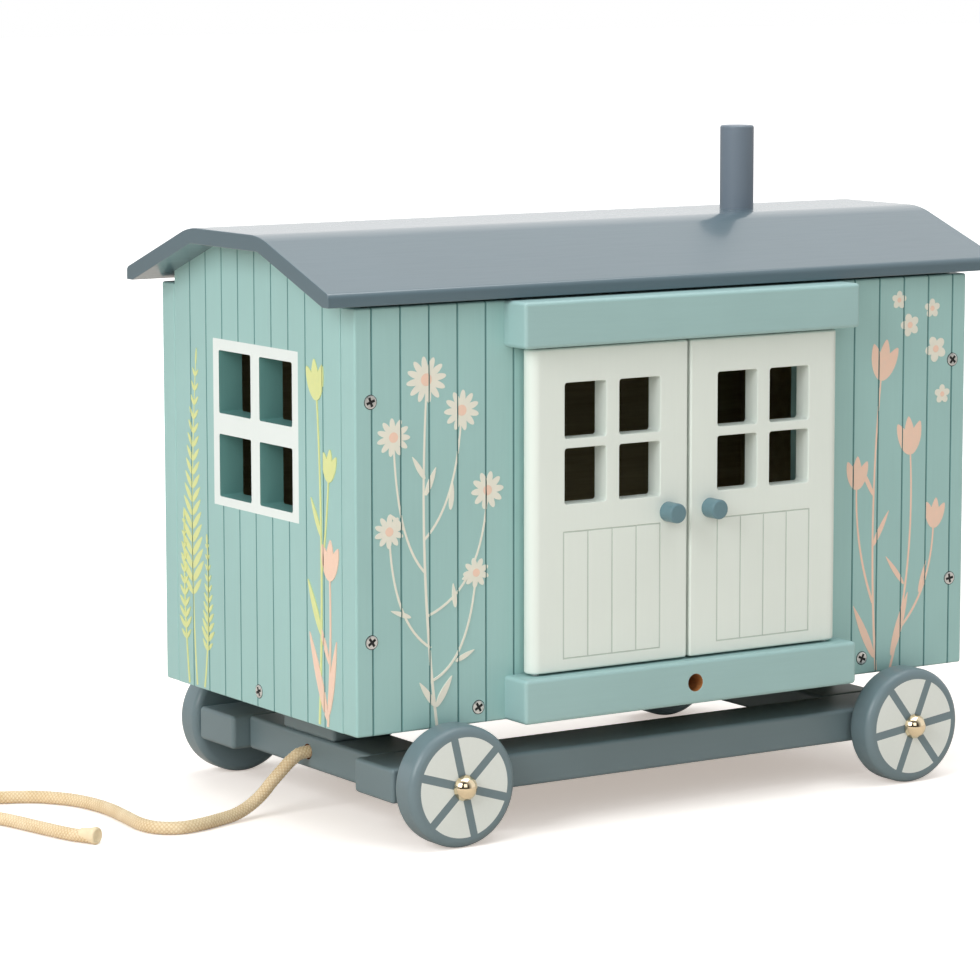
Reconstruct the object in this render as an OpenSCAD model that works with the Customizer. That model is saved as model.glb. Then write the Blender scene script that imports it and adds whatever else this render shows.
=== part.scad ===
// Wooden pull-along shepherd's hut: a boarded body with two doors and a three-facet roof,
// carried on a ladder chassis with four wheels and a pull cord.
// Millimetres. The wheels stand on Z = 0, the doors face -Y and the pull cord leaves at -X.

/* [Hut body] */
// Length over the gable walls
body_l = 280; // [220:1:360]
// Width over the long walls
body_w = 144; // [120:1:200]
// Height of the long walls
wall_h = 155; // [140:1:200]
// Thickness of the long walls
wall_t = 10; // [6:0.5:14]
// Thickness of the gable walls
gable_t = 10; // [6:0.5:16]
// Thickness of the floor
floor_t = 12; // [6:0.5:16]

/* [Roof] */
// Thickness of the roof
roof_t = 6; // [4:0.5:10]
// Slope of the two outer facets, in degrees
roof_pitch = 20; // [12:0.5:30]
// Width of the level crown, measured between its knees
crown_w = 53; // [30:1:80]
// Radius of the rounded knees
knee_r = 14; // [8:0.5:24]
// Height of the upright face of the eaves
eave_face_h = 3.8; // [3:0.1:4.5]
// Radius of the upper edge of the eaves
eave_edge_r = 1.5; // [0.5:0.1:1.8]
// Level gap between the eaves and the long walls
eave_gap = 2; // [1:0.25:4]
// Overhang of the eaves past the long walls
eave_overhang = 4; // [2:0.5:10]
// Overhang of the roof past the gable walls
end_overhang = 13; // [6:0.5:25]
// Diameter of the chimney
chimney_d = 13.4; // [8:0.1:20]
// Height of the chimney above the crown
chimney_h = 33; // [20:0.5:50]
// Distance of the chimney from the right gable wall
chimney_inset = 59; // [30:1:100]

/* [Gable windows] */
// Width of one pane
win_pane_w = 24.2; // [12:0.2:28]
// Height of one pane
win_pane_h = 23.8; // [12:0.2:26]
// Width of the upright bar between panes
win_bar_w = 6.5; // [4:0.1:9]
// Height of the level bar between panes
win_bar_h = 7.9; // [4:0.1:10]
// Radius of the pane corners
win_corner_r = 0.8; // [0.5:0.1:3]
// Height of the lowest pane edge above the foot of the wall
win_sill_z = 76.6; // [60:0.2:90]

/* [Doors] */
// Width of the closed pair of doors
door_pair_w = 141; // [120:1:160]
// Thickness of a door
door_t = 8; // [6:0.5:12]
// Space between a closed door and the wall
door_back_gap = 1; // [0.5:0.1:2]
// Space above and below a door
door_end_gap = 0.8; // [0.4:0.1:1.5]
// Space between the two doors where they meet
door_meet_gap = 1.2; // [0.6:0.1:2]
// How far the wall laps behind the outer edge of a door
door_lap = 8.5; // [6:0.5:10]
// Width of one pane of a door
door_pane_w = 18.4; // [10:0.2:20]
// Height of one pane of a door
door_pane_h = 20.6; // [10:0.2:22]
// Width of the upright bar of a door
door_bar_w = 5.9; // [4:0.1:8]
// Height of the level bar of a door
door_bar_h = 3.6; // [3:0.1:8]
// Radius of the pane corners of a door
door_corner_r = 1.6; // [0.5:0.1:3]
// Width of the stile along the meeting edge
door_stile_w = 12.6; // [11:0.2:14]
// Height of the head of a door above its panes
door_head_h = 12.9; // [8:0.1:20]
// Diameter of a knob
knob_d = 7.5; // [5:0.1:9]
// Length of a knob
knob_l = 7; // [4:0.5:12]
// Distance of a knob from the meeting edge
knob_inset = 9; // [5:0.5:12]
// Height of the knobs above the foot of a door
knob_z = 56; // [30:0.5:57]
// Radius of the rounded ends of the knobs and the chimney
dowel_edge_r = 0.8; // [0.3:0.1:1.5]

/* [Lintel, sill and hinge pins] */
// How far the lintel and the sill run past the doors
rail_past = 6; // [4:0.5:12]
// Depth of the lintel and the sill in front of the wall
rail_d = 14; // [12:0.5:20]
// Height of the lintel
lintel_h = 17; // [14:0.5:22]
// Height of the sill
sill_h = 16.5; // [14:0.5:22]
// Radius of the front edges of the lintel and the sill
rail_edge_r = 1.2; // [0.5:0.1:2]
// Diameter of the hinge pins
pin_d = 3; // [2:0.1:4]
// Length of a pin inside the lintel or the sill
pin_in_rail = 7; // [5:0.5:9]
// Length of a pin inside the door
pin_in_door = 9; // [6:0.5:14]
// Radial clearance of a pin in its bore
pin_clear = 0.08; // [0.04:0.01:0.1]
// Diameter of the peg hole in the sill
peg_d = 6.6; // [4:0.1:8]
// Depth of the peg hole
peg_depth = 10; // [6:0.5:12]

/* [Chassis] */
// Length of the two side rails
chassis_l = 251; // [210:1:300]
// Width over the two side rails
chassis_w = 145; // [120:1:170]
// Width of one side rail
side_rail_w = 27; // [18:0.5:34]
// Thickness of the chassis timbers
chassis_t = 13; // [11:0.5:18]
// How far the cross members sit in from the rail ends
cross_inset = 7; // [4:0.5:12]
// Width of a cross member along the hut
cross_w = 27; // [20:0.5:40]
// Radius of the long edges of the chassis timbers
chassis_edge_r = 1.6; // [0.5:0.1:3]
// Height of the bolsters between chassis and hut
bolster_h = 13; // [6:0.5:20]
// Length of a bolster across the hut
bolster_l = 38; // [20:1:60]

/* [Wheels] */
// Diameter of a wheel
wheel_d = 45; // [36:0.5:60]
// Thickness of a wheel
wheel_w = 13; // [8:0.5:18]
// Radius of the rounded wheel edges
wheel_edge_r = 3; // [1:0.5:5]
// Distance of an axle pin from the end of its rail
axle_from_end = 21.5; // [15:0.5:40]
// Space between a wheel and the rail, wall or sill beside it
wheel_gap = 2; // [1:0.25:4]
// Diameter of an axle pin
axle_d = 5; // [3:0.1:6]
// Length of an axle pin inside the rail
axle_in_rail = 20; // [10:0.5:24]
// Radial clearance of a wheel on its axle pin
axle_clear = 0.1; // [0.05:0.01:0.1]
// Diameter of the domed head of an axle pin
cap_d = 8.4; // [7:0.1:12]
// Height of the domed head
cap_h = 3.6; // [2.5:0.1:4]
// Space between a domed head and its wheel
cap_gap = 0.4; // [0.3:0.05:1]

/* [Pull cord] */
// Diameter of the cord
cord_d = 5; // [3:0.1:5.6]
// Diameter of the hole in the cross member
cord_hole_d = 6; // [5.9:0.1:8]

/* [Hidden] */
$fn = 48;
over = 1;

axle_z = wheel_d / 2;
chassis_z0 = axle_z - chassis_t / 2;
chassis_z1 = axle_z + chassis_t / 2;
body_z0 = chassis_z1 + bolster_h;
body_z1 = body_z0 + wall_h;
floor_z1 = body_z0 + floor_t;
half_l = body_l / 2;
half_w = body_w / 2;
in_l = half_l - gable_t;
in_w = half_w - wall_t;

eave_y = half_w + eave_overhang;
eave_z = body_z1 + eave_gap;
pitch_run = tan(roof_pitch);
knee_in_y = crown_w / 2 - roof_t * tan(roof_pitch / 2);
eave_in_y = eave_y - (roof_t / cos(roof_pitch) - eave_face_h) / pitch_run;
crown_in_z = eave_z + (eave_in_y - knee_in_y) * pitch_run;
crown_z = crown_in_z + roof_t;
gable_edge_z = crown_in_z - (in_w - knee_in_y) * pitch_run;
knee_back = knee_r * tan(roof_pitch / 2);
nose_y = eave_y - eave_edge_r;
nose_z = crown_z - (nose_y - crown_w / 2) * pitch_run - eave_edge_r / cos(roof_pitch);
chimney_x = half_l - chimney_inset;

rail_l = door_pair_w + 2 * rail_past;
sill_z1 = body_z0 + sill_h;
lintel_z0 = body_z1 - lintel_h;
open_w = door_pair_w - 2 * door_lap;
door_z0 = sill_z1 + door_end_gap;
door_z1 = lintel_z0 - door_end_gap;
door_pane_z0 = door_z1 - door_head_h - 2 * door_pane_h - door_bar_h;
door_back_y = -half_w - door_back_gap;
door_front_y = door_back_y - door_t;
pivot_x = door_pair_w / 2 - door_t / 2;
pivot_y = (door_back_y + door_front_y) / 2;
pin_bore_d = pin_d + 2 * pin_clear;

rail_in_y = chassis_w / 2 - side_rail_w;
cross_x0 = chassis_l / 2 - cross_inset - cross_w;
axle_x = chassis_l / 2 - axle_from_end;
// A wheel stands outside the wider of chassis and hut, and outside the sill where its crown comes beside it
crown_half = sqrt(max(0, pow(wheel_d / 2, 2) - pow(body_z0 - axle_z, 2)));
wheel_by_sill = axle_x - crown_half < rail_l / 2 + wheel_gap;
wheel_in_y = max(chassis_w / 2, half_w + (wheel_by_sill ? rail_d : 0)) + wheel_gap;
wheel_out_y = wheel_in_y + wheel_w;
cap_y = wheel_out_y + cap_gap;
cap_sphere = (pow(cap_d / 2, 2) + cap_h * cap_h) / (2 * cap_h);

teal = [0.56, 0.71, 0.69];
slate = [0.45, 0.52, 0.55];
roof_grey = [0.59, 0.66, 0.71];
cream = [0.83, 0.85, 0.81];
brass = [0.85, 0.69, 0.42];
steel = [0.7, 0.7, 0.72];
rope = [0.88, 0.77, 0.58];

// A box from its low corner to its high corner
module slab(lo, hi) {
    translate(lo)
        cube(hi - lo);
}

// A round bar along Y from y0 to y1
module bar_y(x, z, d, y0, y1) {
    translate([x, y0, z])
        rotate([-90, 0, 0])
            cylinder(d = d, h = y1 - y0);
}

// An upright round bar from z0 to z1
module bar_z(x, y, d, z0, z1) {
    translate([x, y, z0])
        cylinder(d = d, h = z1 - z0);
}

// A flat rectangle with rounded corners, from its low corner to its high corner
module round_rect(lo, hi, r) {
    size = hi - lo;
    translate(lo + [r, 0])
        square([size[0] - 2 * r, size[1]]);
    translate(lo + [0, r])
        square([size[0], size[1] - 2 * r]);
    for (x = [lo[0] + r, hi[0] - r], y = [lo[1] + r, hi[1] - r])
        translate([x, y])
            circle(r = r);
}

// Draws a flat shape in the XZ plane and carries it from y0 to y1
module extrude_y(y0, y1) {
    translate([0, y1, 0])
        rotate([90, 0, 0])
            linear_extrude(height = y1 - y0)
                children();
}

// Draws a flat shape in the YZ plane and carries it from x0 to x1
module extrude_x(x0, x1) {
    translate([x0, 0, 0])
        rotate([90, 0, 90])
            linear_extrude(height = x1 - x0)
                children();
}

// An upright dowel with a rounded upper edge
module dowel(d, h) {
    rotate_extrude() {
        square([d / 2 - dowel_edge_r, h]);
        square([d / 2, h - dowel_edge_r]);
        translate([d / 2 - dowel_edge_r, h - dowel_edge_r])
            circle(r = dowel_edge_r);
    }
}

// Four openings, two by two, through a panel in the XZ plane
module panes(x, z, w, h, bar_w, bar_h, r, y0, y1) {
    for (i = [0, 1], k = [0, 1]) {
        lo = [x + i * (w + bar_w), z + k * (h + bar_h)];
        extrude_y(y0, y1)
            round_rect(lo, lo + [w, h], r);
    }
}

// One length of the front wall, from x0 to x1 and from z0 to z1
module front_panel(x0, x1, z0, z1) {
    color(teal)
        slab([x0, -half_w, z0], [x1, -in_w, z1]);
}

module front_wall_left() {
    front_panel(-half_l, -open_w / 2, body_z0, body_z1);
}

module front_wall_right() {
    front_panel(open_w / 2, half_l, body_z0, body_z1);
}

module front_wall_header() {
    front_panel(-open_w / 2, open_w / 2, lintel_z0, body_z1);
}

module front_wall_threshold() {
    front_panel(-open_w / 2, open_w / 2, body_z0, sill_z1);
}

module back_wall() {
    color(teal)
        slab([-half_l, in_w, body_z0], [half_l, half_w, body_z1]);
}

// A gable wall with its four panes; side is -1 for the left one and 1 for the right one
module gable(side) {
    color(teal)
        translate([side * (half_l - gable_t / 2), 0, 0])
            rotate([0, 0, 90])
                difference() {
                    extrude_y(-gable_t / 2, gable_t / 2)
                        polygon([
                            [-in_w, body_z0], [in_w, body_z0], [in_w, gable_edge_z],
                            [knee_in_y, crown_in_z], [-knee_in_y, crown_in_z], [-in_w, gable_edge_z]
                        ]);
                    panes(-win_pane_w - win_bar_w / 2, body_z0 + win_sill_z, win_pane_w, win_pane_h,
                          win_bar_w, win_bar_h, win_corner_r, -gable_t, gable_t);
                }
}

module left_gable() {
    gable(-1);
}

module right_gable() {
    gable(1);
}

module floor() {
    color(rope)
        slab([-in_l, -in_w, body_z0], [in_l, in_w, floor_z1]);
}

// Section of the roof: everything under the rounded crown and slopes, less the space below
module roof_section() {
    slope_y = crown_w / 2 + knee_back * cos(roof_pitch);
    slope_z = crown_z - knee_back * sin(roof_pitch);
    flat_y = crown_w / 2 - knee_back;
    nose_top = [nose_y + eave_edge_r * sin(roof_pitch), nose_z + eave_edge_r * cos(roof_pitch)];
    difference() {
        union() {
            polygon([
                [-eave_y, eave_z], [eave_y, eave_z], [eave_y, nose_z], nose_top,
                [slope_y, slope_z], [flat_y, crown_z], [-flat_y, crown_z], [-slope_y, slope_z],
                [-nose_top[0], nose_top[1]], [-eave_y, nose_z]
            ]);
            for (s = [-1, 1]) {
                translate([s * flat_y, crown_z - knee_r])
                    circle(r = knee_r, $fn = 96);
                translate([s * nose_y, nose_z])
                    circle(r = eave_edge_r);
            }
        }
        polygon([
            [-eave_in_y, eave_z - 60], [eave_in_y, eave_z - 60], [eave_in_y, eave_z],
            [knee_in_y, crown_in_z], [-knee_in_y, crown_in_z], [-eave_in_y, eave_z]
        ]);
    }
}

module roof() {
    color(roof_grey)
        extrude_x(-half_l - end_overhang, half_l + end_overhang)
            roof_section();
}

module chimney() {
    color(slate)
        translate([chimney_x, 0, crown_z])
            dowel(chimney_d, chimney_h);
}

// A rail in front of the wall with rounded front edges, from z0 to z1
module door_rail(z0, z1) {
    y0 = -half_w - rail_d;
    extrude_x(-rail_l / 2, rail_l / 2) {
        round_rect([y0, z0], [-half_w, z1], rail_edge_r);
        translate([y0 + rail_d / 2, z0])
            square([rail_d / 2, z1 - z0]);
    }
}

module lintel_rail() {
    color(teal)
        difference() {
            door_rail(lintel_z0, body_z1);
            for (s = [-1, 1])
                bar_z(s * pivot_x, pivot_y, pin_bore_d, lintel_z0 - over, lintel_z0 + pin_in_rail);
        }
}

module sill_rail() {
    color(teal)
        difference() {
            door_rail(body_z0, sill_z1);
            for (s = [-1, 1])
                bar_z(s * pivot_x, pivot_y, pin_bore_d, sill_z1 - pin_in_rail, sill_z1 + over);
            bar_y(0, body_z0 + sill_h / 2, peg_d, -half_w - rail_d - over, -half_w - rail_d + peg_depth);
        }
}

// A door leaf with a rounded hinge edge; side is -1 for the left one and 1 for the right one
module door(side) {
    color(cream)
        difference() {
            translate([0, 0, door_z0])
                linear_extrude(height = door_z1 - door_z0)
                    scale([side, 1])
                        union() {
                            translate([door_meet_gap / 2, door_front_y])
                                square([pivot_x - door_meet_gap / 2, door_t]);
                            translate([pivot_x, pivot_y])
                                circle(d = door_t);
                        }
            mirror([side < 0 ? 1 : 0, 0, 0])
                panes(door_meet_gap / 2 + door_stile_w, door_pane_z0, door_pane_w, door_pane_h,
                      door_bar_w, door_bar_h, door_corner_r, door_front_y - over, door_back_y + over);
            for (z = [door_z0 - over, door_z1 - pin_in_door])
                bar_z(side * pivot_x, pivot_y, pin_d, z, z + pin_in_door + over);
        }
}

module left_door() {
    door(-1);
}

module right_door() {
    door(1);
}

// A knob glued to the outer face of a door
module knob(side) {
    color(slate)
        translate([side * (door_meet_gap / 2 + knob_inset), door_front_y, door_z0 + knob_z])
            rotate([90, 0, 0])
                dowel(knob_d, knob_l);
}

module left_knob() {
    knob(-1);
}

module right_knob() {
    knob(1);
}

// The upper and the lower hinge pin of one door
module door_pins(side) {
    reach = door_end_gap + pin_in_rail - 0.5;
    color(steel) {
        bar_z(side * pivot_x, pivot_y, pin_d, door_z0 - reach, door_z0 + pin_in_door - over);
        bar_z(side * pivot_x, pivot_y, pin_d, door_z1 - pin_in_door, door_z1 + reach);
    }
}

module left_door_pins() {
    door_pins(-1);
}

module right_door_pins() {
    door_pins(1);
}

// The front side rail, with blind bores for two axle pins
module side_rail() {
    y0 = -chassis_w / 2;
    color(slate)
        difference() {
            extrude_x(-chassis_l / 2, chassis_l / 2)
                round_rect([y0, chassis_z0], [-rail_in_y, chassis_z1], chassis_edge_r);
            for (s = [-1, 1])
                bar_y(s * axle_x, axle_z, axle_d, y0 - over, y0 + axle_in_rail);
        }
}

module front_rail() {
    side_rail();
}

module back_rail() {
    mirror([0, 1, 0])
        side_rail();
}

// A cross member between the side rails, from x0 to x0 + cross_w
module cross_member(x0) {
    color(slate)
        extrude_y(-rail_in_y, rail_in_y)
            round_rect([x0, chassis_z0], [x0 + cross_w, chassis_z1], chassis_edge_r);
}

// The left cross member has the hole that the pull cord runs through
module left_cross_member() {
    difference() {
        cross_member(-cross_x0 - cross_w);
        translate([-cross_x0 - cross_w - over, 0, axle_z])
            rotate([0, 90, 0])
                cylinder(d = cord_hole_d, h = cross_w + 2 * over);
    }
}

module right_cross_member() {
    cross_member(cross_x0);
}

// A block that carries the hut on a cross member
module bolster(side) {
    x0 = side < 0 ? -cross_x0 - cross_w : cross_x0;
    color(slate)
        extrude_y(-bolster_l / 2, bolster_l / 2)
            round_rect([x0, chassis_z1], [x0 + cross_w, body_z0], chassis_edge_r);
}

module left_bolster() {
    bolster(-1);
}

module right_bolster() {
    bolster(1);
}

// Half section of a wheel, its outer face at the top
module wheel_section() {
    r = wheel_d / 2;
    e = wheel_edge_r;
    difference() {
        union() {
            square([r - e, wheel_w]);
            translate([0, e])
                square([r, wheel_w - 2 * e]);
            for (h = [e, wheel_w - e])
                translate([r - e, h])
                    circle(r = e);
        }
        translate([-over, -over])
            square([over + axle_d / 2 + axle_clear, wheel_w + 2 * over]);
    }
}

// A wheel on its axle; sx picks the axle and sy the side, -1 for the front
module wheel(sx, sy) {
    color(slate)
        translate([sx * axle_x, sy * wheel_in_y, axle_z])
            rotate([-sy * 90, 0, 0])
                rotate_extrude($fn = 72)
                    wheel_section();
}

module front_left_wheel() {
    wheel(-1, -1);
}

module back_left_wheel() {
    wheel(-1, 1);
}

module front_right_wheel() {
    wheel(1, -1);
}

module back_right_wheel() {
    wheel(1, 1);
}

// An axle pin: a shank driven into the rail and a domed head outside the wheel
module axle_pin(sx, sy) {
    shank = cap_y - chassis_w / 2 + axle_in_rail;
    color(brass)
        translate([sx * axle_x, sy * cap_y, axle_z])
            rotate([-sy * 90, 0, 0]) {
                translate([0, 0, -shank])
                    cylinder(d = axle_d, h = shank + over);
                rotate_extrude()
                    intersection() {
                        translate([0, cap_h - cap_sphere])
                            circle(r = cap_sphere, $fn = 96);
                        square([cap_d, cap_h]);
                    }
            }
}

module front_left_axle() {
    axle_pin(-1, -1);
}

module back_left_axle() {
    axle_pin(-1, 1);
}

module front_right_axle() {
    axle_pin(1, -1);
}

module back_right_axle() {
    axle_pin(1, 1);
}

// Route of the pull cord, from the knot through the cross member and over the floor;
// the loose length is given from the mouth of its hole
cord_z = cord_d / 2;
cord_in_x = -cross_x0 + 0.3;
cord_out_x = -cross_x0 - cross_w;
LOOSE = [
    [6.5, 0, 20.5], [11.5, 0, 16.5], [16, 0, 12.5], [20.5, -0.5, 8.5], [26.5, -1.5, 5], [33.5, -3.5, 3],
    [41.5, -6, cord_z], [51.5, -9.5, cord_z], [60.5, -10.5, cord_z], [67.5, -6, cord_z], [70, 3, cord_z],
    [69, 17, cord_z], [68, 32, cord_z], [69.5, 46, cord_z], [73.5, 57, cord_z], [81.5, 67, cord_z],
    [93.5, 73.5, cord_z], [105.5, 78, cord_z], [117.5, 79, cord_z], [125.5, 72, cord_z],
    [125.5, 62, cord_z], [117.5, 52, cord_z], [109.5, 40, cord_z], [104.5, 21.5, cord_z],
    [100, 4, cord_z], [95, -7, cord_z]
];
CORD = concat(
    [[cord_in_x, 0, axle_z], [cord_out_x, 0, axle_z]],
    [for (p = LOOSE) [cord_out_x - p[0], p[1], p[2]]]
);
CORD_SIDES = 10;

function unit(v) = v / norm(v);
function ahead(p, i) = unit(p[min(i + 1, len(p) - 1)] - p[max(i - 1, 0)]);
function side_of(t) = unit(cross([0, 0, 1], t));
function ring(p, i, r) = [
    for (k = [0 : CORD_SIDES - 1])
        let (t = ahead(p, i), s = side_of(t), u = cross(t, s), a = 360 * k / CORD_SIDES)
            p[i] + r * (cos(a) * s + sin(a) * u)
];
function tube_points(p, r) = [for (i = [0 : len(p) - 1]) each ring(p, i, r)];
function tube_faces(n) = concat(
    [[for (k = [0 : CORD_SIDES - 1]) k]],
    [for (i = [0 : n - 2], k = [0 : CORD_SIDES - 1])
        let (a = i * CORD_SIDES, b = a + CORD_SIDES, q = (k + 1) % CORD_SIDES)
            [a + k, b + k, b + q, a + q]],
    [[for (k = [CORD_SIDES - 1 : -1 : 0]) (n - 1) * CORD_SIDES + k]]
);

module pull_cord() {
    color(rope)
        polyhedron(points = tube_points(CORD, cord_d / 2), faces = tube_faces(len(CORD)));
}

// The stopper knot behind the cross member
module cord_knot() {
    knot_r = 0.9 * cord_d;
    color(rope)
        translate([cord_in_x, 0, axle_z])
            rotate([0, 90, 0])
                rotate_extrude()
                    intersection() {
                        translate([0, 0.6 * knot_r])
                            circle(r = knot_r);
                        square([2 * knot_r, 2 * knot_r]);
                    }
}

// The sealed tip at the free end
module cord_tip() {
    last = CORD[len(CORD) - 1];
    t = ahead(CORD, len(CORD) - 1);
    tip_r = cord_d / 2;
    color(rope)
        translate(last)
            rotate([0, 0, atan2(t[1], t[0])])
                rotate([0, 90, 0])
                    rotate_extrude()
                        intersection() {
                            circle(r = tip_r);
                            square([tip_r, tip_r]);
                        }
}

front_wall_left();
front_wall_right();
front_wall_header();
front_wall_threshold();
back_wall();
left_gable();
right_gable();
floor();
roof();
chimney();
lintel_rail();
sill_rail();
left_door();
right_door();
left_knob();
right_knob();
left_door_pins();
right_door_pins();
front_rail();
back_rail();
left_cross_member();
right_cross_member();
left_bolster();
right_bolster();
front_left_wheel();
back_left_wheel();
front_right_wheel();
back_right_wheel();
front_left_axle();
back_left_axle();
front_right_axle();
back_right_axle();
pull_cord();
cord_knot();
cord_tip();
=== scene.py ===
"""Dressing of a wooden pull-along shepherd's hut: painted boards, doors, wheels, cord and studio."""

from __future__ import annotations

import logging
import math
from collections.abc import Callable, Iterable, Sequence
from dataclasses import dataclass
from enum import Enum

import bmesh
import bpy
from bmesh.types import BMEdge, BMesh, BMFace, BMVert
from mathutils import Matrix, Vector


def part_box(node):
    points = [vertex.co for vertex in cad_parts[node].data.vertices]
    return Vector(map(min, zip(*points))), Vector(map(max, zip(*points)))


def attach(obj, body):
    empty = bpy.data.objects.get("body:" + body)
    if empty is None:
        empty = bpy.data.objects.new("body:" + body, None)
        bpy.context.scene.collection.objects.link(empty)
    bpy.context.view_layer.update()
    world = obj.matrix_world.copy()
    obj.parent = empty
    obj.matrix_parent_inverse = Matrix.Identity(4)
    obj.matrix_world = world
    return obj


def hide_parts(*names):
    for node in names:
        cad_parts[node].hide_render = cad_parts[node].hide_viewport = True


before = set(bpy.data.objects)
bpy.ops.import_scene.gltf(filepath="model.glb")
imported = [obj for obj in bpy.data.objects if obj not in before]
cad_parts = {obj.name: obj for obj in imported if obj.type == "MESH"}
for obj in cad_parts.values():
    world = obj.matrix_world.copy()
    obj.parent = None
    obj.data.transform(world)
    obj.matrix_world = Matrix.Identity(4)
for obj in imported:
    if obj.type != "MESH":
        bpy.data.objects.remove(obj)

LOG = logging.getLogger("hut")
MM = 0.001
NEAR = 0.01
WELD = 1e-4
UP = Vector((0, 0, 1))
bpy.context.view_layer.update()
Pair = tuple[float, float]
Triple = tuple[float, float, float]
Colour = tuple[float, float, float, float]
Socket = bpy.types.NodeSocket


class Axis(Enum):
    """A direction of the frame, by its place in a vector."""

    X = 0
    Y = 1
    Z = 2

    @property
    def across(self) -> tuple[int, int]:
        """The two other directions, in rising order."""
        first, second = (i for i in range(3) if i != self.value)
        return first, second

    @property
    def unit(self) -> Vector:
        """A vector of length one along this direction."""
        return Vector([1.0 if i == self.value else 0.0 for i in range(3)])


class Coat(Enum):
    """The finishes of the toy, each a material of its own."""

    TEAL = "teal_boards"
    TEAL_RAIL = "teal_rails"
    # painted shade: the window reveals get a darker teal than the boards, standing in for the shade inside
    # the openings
    REVEAL_SHADE = "window_reveal_shade"
    # painted shade: a darker teal inside the board grooves, for the shade that falls in them
    LINE_SHADE = "board_line_shade"
    WHITE = "window_white"
    CREAM = "door_cream"
    # painted shade: a darker cream inside the doors' engraved lines, for the shade in those grooves
    DOOR_LINE = "door_line_shade"
    ROOF = "roof_slate"
    SLATE = "chassis_slate"
    CHIMNEY = "chimney_slate"
    WHEEL = "wheel_slate"
    WHEEL_PALE = "wheel_pale"
    KNOB = "knob_blue"
    WOOD = "bare_wood"
    DRILLED = "drilled_wood"
    STEEL = "screw_steel"
    # painted shade: near-black in the screws' cross recesses and in a ring round each head, for the shade
    # there
    RECESS_SHADE = "screw_recess_shade"
    BRASS = "axle_brass"
    COTTON = "cord_cotton"
    SEAL = "cord_seal"
    LEAF = "ink_leaf"
    PEACH = "ink_peach"
    PALE = "ink_pale"


def linear(code: str) -> Colour:
    """Turns a written colour into the shader's linear one.

    Args:
        code: Six hexadecimal digits with a leading hash.

    Returns:
        Red, green, blue and an alpha of one.
    """
    parts = [int(code[i:i + 2], 16) / 255 for i in (1, 3, 5)]
    bent = [c / 12.92 if c <= 0.04045 else ((c + 0.055) / 1.055) ** 2.4 for c in parts]
    return bent[0], bent[1], bent[2], 1.0


def shade(code: str, factor: float) -> Colour:
    """Scales a written colour's light by a factor, as a linear colour."""
    r, g, b, a = linear(code)
    return min(r * factor, 1.0), min(g * factor, 1.0), min(b * factor, 1.0), a


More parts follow.
